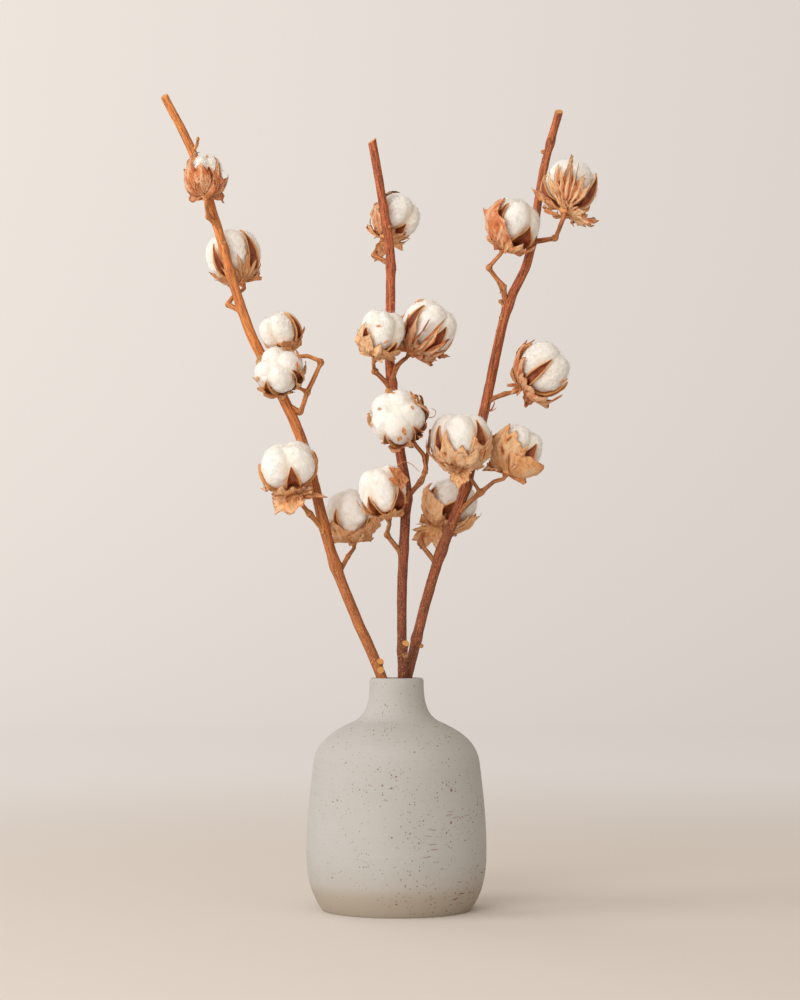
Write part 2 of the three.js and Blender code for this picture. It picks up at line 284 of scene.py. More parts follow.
def add_tube(shape, route, radii, bend, sides, step, rough, swells=(), seed=0.0, round_tip=0.0,
             slant=(0, 0, 0), cut=(0, 1), shade=0.0):
    """A tapered tube with bark and closed ends.
    swells: swollen joints, each as its distance from the start, or from the end if negative, its height
    and its half length. round_tip: the length of a rounded end. slant: leans the last cut's plane.
    cut: slots of the bark and of the cut ends."""
    line, marks = even(hermite(route, bend), step)
    tangents, x, y = carried_frames(line)
    radius = tube_radius(marks, radii, swells, round_tip)[:, None]
    ring = circle(sides)[None]
    coords = ring * radius[..., None]
    coords[..., 2] = marks[:, None]
    ridged = field_noise(coords * (1, 1, 0.12), RIDGE_SIZE, seed, 3) * rough
    lumps = field_noise(coords * (1, 1, 0.6), LUMP_SIZE, seed + 3, 2) * rough * LUMP_SHARE
    reach = radius * (1 + (ridged + lumps) / np.maximum(radius, 0.5))
    across = x[:, None] * ring[..., :1] + y[:, None] * ring[..., 1:2]
    grid = line[:, None] + across * reach[..., None]
    if any(slant):
        pull = np.einsum("rsk,k->rs", across * reach[..., None], np.asarray(slant, float))
        share = smooth(-SLANT_LENGTH, 0.0, marks - marks[-1])
        grid = grid + tangents[:, None] * (pull * share[:, None])[..., None]
    points, grain, faces = closed_tube(grid, coords)
    slots = [cut[0]] + [cut[1]] * (len(faces) - 1)
    # How much each point of the side faces the lamps, for the bark's painted shade.
    aspect = np.zeros(len(points))
    aspect[:len(line) * sides] = (across @ LIT_SIDE).ravel()
    shape.add(points, faces, slots, grain=grain, shade=shade, aspect=aspect)


# ---- Material nodes ----

def rgb(red, green, blue):
    """A linear colour from 0 to 255 screen values."""
    def linear(v):
        v /= 255
        return v / 12.92 if v <= 0.04045 else ((v + 0.055) / 1.055) ** 2.4
    return (linear(red), linear(green), linear(blue), 1.0)


class Finish:
    """A material whose nodes are added by short calls. colour is its base colour so far."""

    def __init__(self, name, **constants):
        self.material = bpy.data.materials.new(name)
        self.material.use_nodes = True
        self.tree = self.material.node_tree
        self.shader = self.tree.nodes["Principled BSDF"]
        self.colour = None
        for socket, value in constants.items():
            self.shader.inputs[socket.replace("_", " ")].default_value = value

    def add(self, kind, inputs, output=0, **settings):
        made = self.tree.nodes.new("ShaderNode" + kind)
        for key, value in settings.items():
            setattr(made, key, value)
        for key, value in inputs.items():
            self.put(value, made.inputs[key])
        return made.outputs[output]

    def put(self, value, socket):
        if isinstance(value, bpy.types.NodeSocket):
            self.tree.links.new(value, socket)
        else:
            socket.default_value = value

    def set(self, socket, value):
        self.put(value, self.shader.inputs[socket])

    def places(self):
        return self.add("TexCoord", {}, "Object")

    def value(self, name, output="Fac"):
        return self.add("Attribute", {}, output, attribute_name=name, attribute_type="GEOMETRY")

    def vector(self, name):
        return self.value(name, "Vector")

    def scaled(self, vector, scale):
        return self.add("VectorMath", {0: vector, 1: scale}, operation="MULTIPLY")

    def moved(self, vector, by):
        return self.add("VectorMath", {0: vector, 1: by}, operation="ADD")

    def part(self, vector, axis):
        return self.add("SeparateXYZ", {0: vector}, axis)

    def noise(self, vector, scale, detail=2.0, roughness=0.5, distortion=0.0):
        inputs = {"Vector": vector, "Scale": scale, "Detail": detail, "Roughness": roughness,
                  "Distortion": distortion}
        return self.add("TexNoise", inputs, "Fac")

    def cells(self, vector, scale, output="Distance", feature="F1", dimensions="3D"):
        inputs = {"Vector": vector, "Scale": scale}
        return self.add("TexVoronoi", inputs, output, feature=feature, voronoi_dimensions=dimensions)

    def math(self, operation, a, b=0.0, clamp=False):
        return self.add("Math", {0: a, 1: b}, operation=operation, use_clamp=clamp)

    def times(self, a, b):
        return self.math("MULTIPLY", a, b)

    def plus(self, a, b):
        return self.math("ADD", a, b)

    def minus(self, a, b):
        return self.math("SUBTRACT", a, b)

    def apart(self, a, b):
        return self.math("ABSOLUTE", self.minus(a, b))

    def ramp(self, value, low, high, to_low=0.0, to_high=1.0):
        inputs = {"Value": value, "From Min": low, "From Max": high, "To Min": to_low, "To Max": to_high}
        return self.add("MapRange", inputs, interpolation_type="SMOOTHSTEP")

    def mix(self, factor, a, b):
        return self.add("Mix", {0: factor, 6: a, 7: b}, 2, data_type="RGBA")

    def paint(self, mask, colour):
        """Lays the colour over what is painted so far, where the mask is 1."""
        self.colour = self.mix(mask, self.colour, colour)

    def bump(self, height, strength, distance, normal=None):
        inputs = {"Height": height, "Strength": strength, "Distance": distance}
        if normal is not None:
            inputs["Normal"] = normal
        return self.add("Bump", inputs)


# ---- Vase ----

BASE_RADIUS = 56.0
BASE_CHAMFER = 0.6
BELLY_RADIUS = 67.5
BELLY_HEIGHT = 42.0
SHOULDER_RADIUS = 62.6
SHOULDER_HEIGHT = 109.5
COLLAR_RADIUS = 33.0
COLLAR_HEIGHT = 140.0
NECK_RADIUS = 20.3
NECK_START = 165.0
VASE_HEIGHT = 173.0
WALL = 4.0
FLOOR = 7.0
VASE_SIDES = 108
CURVE_STEPS = 22
RIM_STEPS = 14
BASE_RINGS = (18, 36)
FLOOR_RINGS = (30, 12)
HAND_THROWN = 0.22
THROWN_SIZE = 45
# Round specks: cells to a metre, the share of cells that hold one, the largest radius as a share of a
# cell, and how strongly they show.
SPECKS = ((600, 0.5, 0.36, 0.65), (300, 0.34, 0.27, 0.8), (120, 0.12, 0.09, 0.9))


def bezier(a, b, c, d):
    t = np.linspace(0, 1, CURVE_STEPS + 1)[1:, None]
    a, b, c, d = (np.array(v, float) for v in (a, b, c, d))
    return a * (1 - t) ** 3 + 3 * b * t * (1 - t) ** 2 + 3 * c * t ** 2 * (1 - t) + d * t ** 3


def arc(centre, radius, start, end, steps):
    turn = np.radians(np.linspace(start, end, steps))
    return np.stack([centre[0] + radius * np.cos(turn), centre[1] + radius * np.sin(turn)], axis=1)


def vase_outline():
    """Radius and height of the outside, from the foot up to the start of the neck."""
    foot = (BASE_RADIUS, BASE_CHAMFER)
    belly = (BELLY_RADIUS, BELLY_HEIGHT)
    shoulder = (SHOULDER_RADIUS, SHOULDER_HEIGHT)
    collar = (COLLAR_RADIUS, COLLAR_HEIGHT)
    neck = (NECK_RADIUS, NECK_START)
    belly_out = (BELLY_RADIUS, BELLY_HEIGHT + 28)
    shoulder_in = (SHOULDER_RADIUS + 2, SHOULDER_HEIGHT - 17.5)
    shoulder_out = (SHOULDER_RADIUS - 2, SHOULDER_HEIGHT + 15)
    collar_in = (COLLAR_RADIUS + 16, COLLAR_HEIGHT - 7)
    collar_out = (COLLAR_RADIUS - 9, COLLAR_HEIGHT + 4)
    return np.vstack([
        foot,
        bezier(foot, (BASE_RADIUS + 6, 9), (BELLY_RADIUS, 20), belly),
        bezier(belly, belly_out, shoulder_in, shoulder),
        bezier(shoulder, shoulder_out, collar_in, collar),
        bezier(collar, collar_out, (NECK_RADIUS + 0.6, NECK_START - 12), neck),
    ])


def inside_of(outline):
    along = unit(np.gradient(outline, axis=0))
    return outline + np.stack([-along[:, 1], along[:, 0]], axis=1) * WALL


def vase_profile():
    """Radius and height all round the wall, from under the base to the floor inside."""
    outer = vase_outline()
    inner = inside_of(outer)
    inner = inner[inner[:, 1] > FLOOR + WALL][::-1]
    rim = arc((NECK_RADIUS - WALL / 2, VASE_HEIGHT - WALL / 2), WALL / 2, 0, 180, RIM_STEPS)
    base = [(r, 0.0) for r in (*BASE_RINGS, BASE_RADIUS - BASE_CHAMFER)]
    floor = [(r, FLOOR) for r in (inner[-1, 0] - WALL, *FLOOR_RINGS)]
    return np.vstack([base, outer, rim, [(NECK_RADIUS - WALL, NECK_START)], inner, floor])


def vase_shape():
    profile = vase_profile()
    grid = lathe(profile, VASE_SIDES)
    height = grid[..., 2]
    standing = smooth(0.5, 12.0, height) * smooth(0, 8, np.abs(VASE_HEIGHT - height) + 2)
    wander = field_noise(grid * (1, 1, 1.4), THROWN_SIZE, 2.0, 2) * HAND_THROWN * standing
    grid = grid + circle(VASE_SIDES) * wander[..., None]
    points = np.vstack([grid.reshape(-1, 3), [(0, 0, 0), (0, 0, FLOOR)]])
    wrapped = np.arctan2(points[:, 0], -points[:, 1]) * BELLY_RADIUS
    glaze = np.stack([wrapped, points[:, 2], np.zeros(len(points))], axis=1)
    shape = Shape({"glaze": 3})
    shape.add(points, lathe_faces(len(profile), VASE_SIDES), glaze=glaze)
    return shape


def speckled(f, surface, scale, share, largest, crowd):
    """1 inside round specks, as SPECKS describes them. crowd: how large they are at each place."""
    distance = f.cells(surface, scale)
    chance = f.part(f.cells(surface, scale, "Color"), 0)
    size = f.times(f.ramp(chance, 1 - share, 1.0, -0.05, largest), crowd)
    return f.ramp(f.minus(size, distance), 0.0, 0.03)


def stoneware():
    f = Finish("stoneware", Roughness=0.82, Specular_IOR_Level=0.32)
    places = f.places()
    glaze = f.vector("glaze")
    height = f.part(glaze, 1)
    across = f.part(places, 0)
    f.colour = rgb(188, 188, 186)
    f.paint(f.noise(places, 22, 3, 0.55), rgb(177, 176, 173))
    # Darker and warmer towards the foot: painted shade under the belly and a painted warm bounce from the
    # floor.
    low = f.plus(f.ramp(height, 50, 4, 0.0, 0.3), f.ramp(height, 24, 13, 0.0, 0.3))
    f.paint(low, rgb(160, 140, 112))
    streaks = f.noise(f.scaled(places, (9, 9, 900)), 1, 3, 0.6)
    f.paint(f.ramp(streaks, 0.35, 0.75, 0.0, 0.16), rgb(176, 170, 160))
    dust = f.noise(places, 1500, 3, 0.7)
    f.paint(f.ramp(dust, 0.5, 0.8, 0.0, 0.45), rgb(158, 150, 138))
    patches = f.ramp(f.noise(places, 45, 2), 0.3, 0.7, 0.6, 1.2)
    crowd = f.times(f.ramp(across, -0.05, 0.05, 0.8, 1.15), patches)
    rusty = f.mix(f.noise(places, 130, 2), rgb(98, 70, 54), rgb(150, 106, 84))
    masks = []
    for scale, share, largest, strength in SPECKS:
        masks.append(speckled(f, places, scale, share, largest, crowd))
        f.paint(f.times(masks[-1], strength), rusty)
    f.paint(f.times(scratches(f, glaze, height, across), 0.85), rgb(136, 80, 58))
    f.set("Base Color", f.colour)
    f.set("Roughness", f.ramp(dust, 0.2, 0.8, 0.74, 0.9))
    grain = f.bump(f.noise(places, 2600, 4, 0.65), 0.35, 0.0002)
    throw = f.bump(streaks, 0.08, 0.0003, grain)
    pits = f.times(f.plus(masks[1], masks[2]), -1.0)
    f.set("Normal", f.bump(pits, 0.4, 0.0002, throw))
    return f.material


def scratches(f, glaze, height, across):
    """Short reddish dashes, crowded low on the right of the front."""
    sway = f.scaled(f.noise(glaze, 0.035, 1), (4, 12, 0))
    stretched = f.scaled(f.moved(glaze, sway), (0.08, 0.42, 1))
    distance = f.cells(stretched, 1.0, dimensions="2D")
    chance = f.part(f.cells(stretched, 1.0, "Color", dimensions="2D"), 1)
    dash = f.ramp(f.minus(f.ramp(chance, 0.7, 1.0, 0.0, 0.3), distance), 0.0, 0.05)
    broken = f.ramp(f.noise(glaze, 1.6, 2), 0.34, 0.46)
    where = f.times(f.ramp(across, 0.008, 0.035), f.ramp(height, 105, 35))
    patch = f.ramp(f.noise(glaze, 0.06, 1), 0.36, 0.56)
    return f.times(f.times(dash, broken), f.times(where, patch))


def vase():
    make_piece("stoneware_vase", vase_shape(), [stoneware()], "vase")


# ---- Stems ----

LEFT_RADII = (4.1, 3.0)
MIDDLE_RADII = (3.7, 3.1)
RIGHT_RADII = (3.9, 2.9)
STEM_BEND = 0.5
STEM_SIDES = 22
STEM_STEP = 1.3
STEM_ROUGH = 0.09
TWIG_BEND = 0.15
TWIG_SIDES = 12
TWIG_STEP = 0.7
BRANCH_RADIUS = 2.1
PEDICEL_RADIUS = 1.4
PEDICEL_GAP = 0.4
STRAIGHT_END = 4.0
BUD_RADII = (1.6, 1.0)
BARE_TWIG_RADII = (1.7, 1.2)
STUB_RADII = (2.9, 2.7)

LEFT_ROUTE = [
    (49, -24, 16), (-11, -3, 173), (-31, 5, 219), (-50, 11, 269), (-72, 17, 352), (-98, 21, 408),
    (-112, 23, 436), (-125, 27, 473), (-139, 31, 521), (-158, 36, 578), (-181, 38, 624),
]
MIDDLE_ROUTE = [
    (7, 18, 9), (4.5, -4.5, 173), (4, -9, 233), (6.5, -13, 291), (7.5, -14, 314), (3, -14.5, 341),
    (-1, -15, 374), (-5, -15, 409), (-4.5, -14, 463), (-5, -13, 495), (-12, -11.5, 541),
    (-18.5, -10, 579),
]
RIGHT_ROUTE = [
    (-33, 18, 9), (8, 6, 173), (16, 4, 206), (23, 2.5, 233), (34, 1, 269), (49, -2, 307),
    (56, -4, 332), (67, -6, 378), (83, -9, 450), (99, -10, 487), (107, -10.5, 532), (112, -11, 560),
    (123, -12, 601),
]
LEFT_FORK = (-68, 12, 390)
RIGHT_FORK = (63, -11, 312)
# Swollen joints, as add_tube takes them.
LEFT_SWELLS = [
    (400, 0.6, 200), (160, 0.6, 5), (262, 0.9, 7), (294, 0.5, 5), (430, 0.8, 4), (505, 0.7, 4),
    (523, 0.6, 4), (585, 0.8, 5),
]
MIDDLE_SWELLS = [
    (380, 0.4, 190), (186, 0.5, 4), (262, 0.5, 5), (300, 0.9, 5), (388, 0.8, 5), (476, 0.6, 4),
    (508, 0.6, 4),
]
RIGHT_SWELLS = [
    (350, 0.6, 180), (200, 0.6, 4), (268, 0.8, 6), (322, 1.0, 6), (462, 0.8, 6), (512, 0.5, 4),
    (590, 0.6, 4),
]
PALE_BARK = rgb(236, 176, 108)
# Each bark's fresh and worn colours, the colour of its dark streaks, which also paints the shade on the side
# away from the lamps, and the colour it turns to near the vase.
BARKS = {
    "golden_bark": (rgb(240, 146, 66), rgb(208, 114, 46), rgb(112, 54, 20), rgb(166, 90, 36)),
    "terracotta_bark": (rgb(204, 94, 38), rgb(166, 68, 28), rgb(72, 26, 10), rgb(98, 34, 13)),
    "russet_bark": (rgb(206, 102, 44), rgb(156, 68, 30), rgb(72, 28, 13), rgb(136, 62, 31)),
}
COTTON_FLOOR = 3.5
COTTON_SHRINK = 1.0


class Boll:
    """Where one boll is and how large its cotton is. x, y and z are its own axes: z runs up it, and x
    points to the front."""

    def __init__(self, base, aim, radius, rise, locks, turn, seed):
        self.base = np.array(base, float)
        self.z = unit(np.array(aim, float))
        self.x = unit(FRONT - self.z * np.dot(FRONT, self.z))
        self.y = np.cross(self.z, self.x)
        self.radius = radius
        self.locks = locks
        self.turn = math.radians(turn)
        self.seed = seed
        self.centre = COTTON_FLOOR + rise
        self.semi = np.array((radius, radius, rise)) - COTTON_SHRINK

    def placed(self, local):
        """Points of the boll's own frame, in the part's."""
        axes = np.stack([self.x, self.y, self.z])
        return (self.base + local.reshape(-1, 3) @ axes).reshape(local.shape)


# Each boll: its base, where it aims, its radius and half height, how many locks of cotton it has, how
# far they are turned, and its seed.
BOLLS = {
    "L1": Boll((-146, 10, 539), (-0.05, 0.2, 0.97), 14.5, 15, 4, 20, 1),
    "L2": Boll((-121, 58, 480), (-0.3, 0, 0.95), 22.5, 19.5, 4, 50, 2),
    "L3": Boll((-81, 20, 422), (-0.45, -0.2, 0.87), 16.5, 14.5, 4, 60, 3),
    "L4": Boll((-86, 8, 398), (-0.15, -0.92, 0.33), 19, 16, 4, 40, 4),
    "L5": Boll((-77, -7, 313), (-0.2, -0.3, 0.93), 23.5, 17.5, 4, 0, 5),
    "L6": Boll((-33, 34, 276), (-0.05, -0.2, 0.97), 21, 19, 4, -45, 6),
    "M1": Boll((-10, 10, 508), (0.5, 0.2, 0.84), 18, 16.5, 4, 45, 7),
    "M2": Boll((-16, -34, 411), (0.25, -0.25, 0.93), 17, 17, 4, -35, 8),
    "M3": Boll((10, -13, 417), (0.6, -0.05, 0.8), 21.5, 20, 5, 36, 9),
    "M4": Boll((5, -26, 358), (-0.2, -0.92, 0.33), 21.5, 19, 5, 20, 10),
    "M5": Boll((-6, -28, 292), (-0.2, -0.2, 0.95), 18, 18, 4, 45, 11),
    "R1": Boll((125, -38, 519), (0.2, 0.4, 0.9), 21, 19, 5, 60, 12),
    "R2": Boll((79.5, -26, 494), (0.38, -0.3, 0.87), 20, 18, 4, 45, 13),
    "R3": Boll((93.5, -6, 391.5), (0.75, -0.1, 0.65), 21.5, 19, 4, 0, 14),
    "R4": Boll((49, -30, 328), (-0.05, -0.15, 0.98), 23, 19.5, 4, 40, 15),
    "R5": Boll((82, -16, 326), (0.42, 0.2, 0.88), 18.5, 17.5, 4, 30, 16),
    "R6": Boll((31.5, 24, 286), (0.5, 0.1, 0.86), 20, 18.5, 5, 10, 17),
}


class Stem:
    """One stem with its twigs, gathered in one shape."""

    def __init__(self, seed):
        self.shape = Shape({"grain": 3, "shade": 1, "aspect": 1})
        self.seed = seed

    def main(self, route, radii, swells, slant):
        add_tube(self.shape, route, radii, STEM_BEND, STEM_SIDES, STEM_STEP, STEM_ROUGH, swells, self.seed,
                 slant=slant)

    def twig(self, points, radii, swells, round_tip=0.0, rough=0.1, shade=0.5, cut=(0, 1)):
        self.seed += 1
        add_tube(self.shape, points, radii, TWIG_BEND, TWIG_SIDES, TWIG_STEP, rough, swells, self.seed,
                 round_tip, cut=cut, shade=shade)

    def pedicel(self, points, key, start=BRANCH_RADIUS, knees=()):
        """The twig that carries a boll. knees: swollen joints, by the number of the point they are at."""
        boll = BOLLS[key]
        end = boll.base - boll.z * PEDICEL_GAP
        before = end - boll.z * STRAIGHT_END
        route = np.array([*points, before, end], float)
        legs = np.linalg.norm(np.diff(route, axis=0), axis=1)
        swells = [(0, 1.0, 2.6), (-0.5, 1.1, 1.4)]
        swells += [(legs[:index].sum(), height, half) for index, height, half in knees]
        self.twig(route, (start, PEDICEL_RADIUS), swells)

    def bud(self, points):
        self.twig(points, BUD_RADII, [(0, 0.9, 1.4), (-1.5, 0.5, 1.2)], round_tip=1.5, rough=0.2, shade=0.8)

    def stub(self, points):
        self.twig(points, STUB_RADII, [(0, 0.8, 2.0)], rough=0.08, shade=0.2)

    def scar(self, place, out, radius, stands, cut=(0, 0)):
        """A pale round scar where a leaf or a twig fell off. place is inside the stem, out points away
        from it, and stands is how far the scar is from that place."""
        end = np.array(place) + unit(np.array(out, float)) * stands
        self.twig([place, end], (radius, radius), [(-0.2, 0.5, 0.7)], rough=0.15, shade=0.7, cut=cut)

    def curl(self, points, radii=(0.8, 0.3)):
        """A dried curly shoot."""
        self.twig(points, radii, [(0, 0.6, 1.0)], round_tip=0.8, rough=0.15, shade=0.7)


def left_stem():
    stem = Stem(20)
    stem.main(LEFT_ROUTE, LEFT_RADII, LEFT_SWELLS, slant=(0.1, 0.6, 0))
    stem.pedicel([(-139, 31, 521), (-145, 24, 527)], "L1", knees=[(1, 0.8, 1.8)])
    stem.pedicel([(-119, 25, 453), (-130, 32, 460), (-127, 41, 467)], "L2", knees=[(1, 0.9, 2)])
    stem.pedicel([(-87, 19, 384), (-74, 18, 375), LEFT_FORK, (-58, 13, 413), (-68, 16, 418)], "L3",
                 knees=[(1, 0.6, 3), (2, 0.9, 2), (3, 1.3, 2)])
    stem.pedicel([LEFT_FORK, (-74, 12, 393)], "L4", PEDICEL_RADIUS)
    stem.pedicel([(-55, 12, 284), (-66, 6, 297)], "L5", knees=[(1, 1.0, 3)])
    stem.pedicel([(-44, 9, 252), (-37, 20, 265)], "L6", knees=[(1, 0.5, 2)])
    stem.bud([(-159, 36, 579), (-155, 34, 585), (-154, 33, 591)])
    stem.stub([(-14, -1.5, 180), (-12, -8, 185.5)])
    stem.scar((-12.5, -2, 179), (0.1, -1, 0), 2.2, 5.2, (0, 1))
    stem.scar((-135, 30, 507), (0.3, -1, 0.1), 1.6, 4.0)
    stem.scar((-142.5, 32, 523), (0.1, -1, 0.2), 1.1, 3.9)
    stem.scar((-54, 11.5, 283), (-0.5, -1, 0.1), 1.5, 5.4)
    stem.scar((-56.5, 12, 291), (-1, -0.5, -0.2), 1.2, 5.2)
    stem.scar((-66, 6, 296.5), (-0.3, -1, 0.2), 1.7, 2.9, (0, 1))
    return stem.shape


def middle_stem():
    stem = Stem(40)
    stem.main(MIDDLE_ROUTE, MIDDLE_RADII, MIDDLE_SWELLS, slant=(0.5, 0.4, 0))
    stem.pedicel([(-5, -13, 485), (-17, -2, 493)], "M1", knees=[(1, 0.8, 1.6)])
    stem.pedicel([(-5, -15, 392), (-16, -25, 402)], "M2", knees=[(1, 1.2, 1.8)])
    stem.pedicel([(-5, -15, 391), (0, -22, 406), (5, -20, 411)], "M3", knees=[(1, 0.5, 2)])
    stem.pedicel([(6, -13.5, 306), (18, -17, 320), (22, -19, 329), (20, -20, 340)], "M4",
                 knees=[(1, 0.7, 3)])
    stem.pedicel([(4, -11.5, 266), (-7, -19, 280)], "M5", knees=[(1, 0.9, 1.8)])
    stem.twig([(21, -18.5, 326), (26, -18, 359)], BARE_TWIG_RADII, [(0, 0.9, 2), (-1, 0.5, 2)])
    stem.bud([(-8, -12, 512), (-4, -16, 513)])
    stem.bud([(-4.5, -13.5, 479), (0, -14, 480.5)])
    stem.stub([(5, -6, 194), (7, -12, 199)])
    stem.scar((4.7, -6, 190), (0.4, -1, 0), 2.0, 4.6)
    stem.scar((-4.5, -14, 455), (0.8, -0.8, 0), 1.0, 3.8)
    return stem.shape


def right_stem():
    stem = Stem(60)
    stem.main(RIGHT_ROUTE, RIGHT_RADII, RIGHT_SWELLS, slant=(0.2, 0.7, 0))
    stem.pedicel([(103, -10, 502), (119, -22, 503)], "R1", knees=[(1, 1.0, 2)])
    stem.pedicel([(83, -9, 450), (80, -14, 467), (69.5, -19, 481)], "R2",
                 knees=[(1, 1.0, 4), (2, 1.1, 1.8)])
    stem.pedicel([(69, -6.5, 382), (82, -6, 387)], "R3", knees=[(1, 0.3, 2)])
    stem.pedicel([RIGHT_FORK, (56, -22, 321)], "R4", PEDICEL_RADIUS)
    stem.pedicel([(48, -2, 299), RIGHT_FORK, (73, -15, 320)], "R5", knees=[(1, 1.1, 3)])
    stem.pedicel([(30, 1.5, 259), (18, 9, 275), (20, 17, 281)], "R6", knees=[(1, 0.9, 2.5)])
    stem.bud([(114, -11, 569), (109, -12, 571)])
    stem.curl([(66, -6, 372), (71.5, -7.5, 375), (74, -8, 380), (72, -8.5, 383), (70, -8, 381)])
    stem.curl([(67, -6, 374), (72, -8, 374), (75.5, -9, 376.5)], (0.7, 0.3))
    stem.scar((81, -8.8, 444), (-0.7, -1, 0), 1.2, 4.2)
    stem.bud([(79.5, -13, 462), (82.5, -15, 469)])
    stem.bud([(82, -10, 452), (77, -13, 457.5)])
    stem.scar((61, -5, 352), (0.6, -1, 0.1), 1.2, 4.2)
    stem.bud([(15, 4, 197), (20.5, 2.5, 197)])
    return stem.shape


def bark(name, fresh, worn, streak_and_shade, low_tint):
    """A bark in the colours of BARKS. The side away from the lamps is painted darker, as painted shade."""
    f = Finish(name, Specular_IOR_Level=0.4)
    grain = f.vector("grain")
    lines = f.noise(f.scaled(grain, (1, 1, 0.05)), 1.5, 4, 0.62, 0.4)
    broad = f.noise(f.scaled(grain, (1, 1, 0.12)), 0.35, 3, 0.6)
    flecks = f.noise(f.scaled(grain, (1, 1, 0.4)), 2.2, 3, 0.7)
    scabs = f.noise(f.scaled(grain, (1, 1, 0.8)), 0.9, 4, 0.75)
    height = f.part(f.places(), 2)
    f.colour = fresh
    f.paint(f.ramp(broad, 0.36, 0.64), worn)
    f.paint(f.ramp(height, 0.46, 0.16, 0.0, 0.85), low_tint)
    f.paint(f.times(f.value("shade"), 0.7), PALE_BARK)
    # Painted shade: darker on the side away from the lamps.
    f.paint(f.ramp(f.value("aspect"), 0.2, -1.0, 0.0, 0.55), streak_and_shade)
    f.paint(f.ramp(lines, 0.45, 0.62, 0.0, 0.9), streak_and_shade)
    f.paint(f.ramp(flecks, 0.54, 0.66, 0.0, 0.75), PALE_BARK)
    f.paint(f.ramp(scabs, 0.6, 0.68, 0.0, 0.7), streak_and_shade)
    f.set("Base Color", f.colour)
    f.set("Roughness", f.ramp(lines, 0.3, 0.7, 0.45, 0.65))
    ridges = f.bump(lines, 0.7, 0.0007)
    f.set("Normal", f.bump(f.plus(flecks, scabs), 0.5, 0.0005, ridges))
    return f.material


def cut_wood():
    f = Finish("cut_wood", Roughness=0.75)
    flat = f.scaled(f.vector("grain"), (1, 1, 0))
    rings = f.add("TexWave", {"Vector": flat, "Scale": 1.4, "Distortion": 1.5, "Detail": 2.0}, "Fac",
                  wave_type="RINGS", rings_direction="Z")
    speck = f.noise(flat, 2.5, 3, 0.6)
    f.colour = rgb(226, 168, 96)
    f.paint(f.ramp(rings, 0.2, 0.9), rgb(206, 138, 70))
    f.paint(f.ramp(speck, 0.5, 0.7, 0, 0.5), rgb(176, 104, 52))
    f.set("Base Color", f.colour)
    f.set("Normal", f.bump(speck, 0.5, 0.0004))
    return f.material


def stems():
    finishes = {name: bark(name, *colours) for name, colours in BARKS.items()}
    cut = cut_wood()
    for node, make_shape, finish, slot in (
        ("stem_left", left_stem, "golden_bark", "left_bark"),
        ("stem_middle", middle_stem, "terracotta_bark", "red_bark"),
        ("stem_right", right_stem, "russet_bark", "red_bark"),
    ):
        materials = [finishes[finish], cut]
        make_piece(node + "_bark", make_shape(), materials, node, sharp=math.radians(50))


# ---- Bolls: cotton ----

# Places and sizes in a boll are shares of its own radius and half height. A lock's seeds swell its
# surface, and a larger CREASE makes the creases between them sharper.
LOCK_OUT = 0.43
LOCK_LIFT = 0.06
LOCK_SEMI = (0.60, 0.60, 0.92)
SEED_OUT = 0.70
SEED_ASIDE = 0.22
SEED_RADIUS = 0.32
SEED_TILTS = (-48, -16, 14, 44, 68)
CREASE = 34.0
LINT_TRIM = 0.035
BALL_LEVEL = 6
WARP = 0.10
WARP_SIZE = 0.55
# In millimetres: lumps of lint, wisps that run up the boll, and the dent under each valve.
TUFT_SIZE = 4.2
TUFT_HEIGHT = 0.45
WISP_SIZE = 2.4
WISP_HEIGHT = 0.35
VALVE_DENT = 1.1
# How many fibres a boll has, how many of them are long strands, and their shape in millimetres.
FIBRES = 900
STRANDS = 110
FIBRE_SIDES = 3
FIBRE_KNOTS = 3
FIBRE_LENGTHS = (1.0, 3.8)
STRAND_LENGTHS = (4.0, 7.5)
FIBRE_LIFTS = (0.6, 2.6)
FIBRE_RADII = (0.05, 0.10)
FIBRE_TAPER = 0.7
FIBRE_ROOT = 0.25


def lock_turns(boll):
    step = 2 * math.pi / boll.locks
    return [boll.turn + (i + 0.5) * step for i in range(boll.locks)]


def exits(direction, centres, semi):
    """How far each ray from the middle goes before it leaves each ellipsoid; -1 where it misses one."""
    d = direction[:, None] / semi[None]
    c = centres[None] / semi[None]
    dd = (d * d).sum(-1)
    dc = (d * c).sum(-1)
    inside = dc * dc - dd * ((c * c).sum(-1) - 1)
    return np.where(inside > 0, (dc + np.sqrt(np.maximum(inside, 0))) / dd, -1.0)


def lint_reach(boll, direction, seeds=True):
    """The cotton's surface along unit directions, as a share of the boll's egg shape."""
    centres, semis = [], []
    rng = np.random.default_rng(boll.seed)
    for turn in lock_turns(boll):
        turn = turn + rng.normal(0, 0.05)
        lift = LOCK_LIFT + rng.normal(0, 0.03)
        centres.append((LOCK_OUT * math.cos(turn), LOCK_OUT * math.sin(turn), lift))
        semis.append(np.array(LOCK_SEMI) * (1 + rng.normal(0, 0.02)))
        for i, tilt in enumerate(SEED_TILTS):
            side = (1 if i % 2 else -1) * SEED_ASIDE + rng.normal(0, 0.1)
            up = math.radians(tilt + rng.normal(0, 5))
            out = SEED_OUT * (1 + rng.normal(0, 0.02))
            level = out * math.cos(up)
            heading = turn + side
            if seeds:
                centres.append((level * math.cos(heading), level * math.sin(heading), out * math.sin(up)))
                semis.append(np.full(3, SEED_RADIUS))
    found = exits(direction, np.array(centres), np.array(semis))
    top = found.max(axis=1, keepdims=True)
    blend = np.log(np.exp(CREASE * (found - top)).sum(axis=1)) / CREASE
    return top[:, 0] + blend - LINT_TRIM


def ball():
    """Unit directions and triangles of a finely divided icosahedron."""
    made = bmesh.new()
    bmesh.ops.create_icosphere(made, subdivisions=BALL_LEVEL, radius=1)
    points = np.array([v.co[:] for v in made.verts])
    faces = np.array([[v.index for v in f.verts] for f in made.faces])
    made.free()
    return unit(points), faces


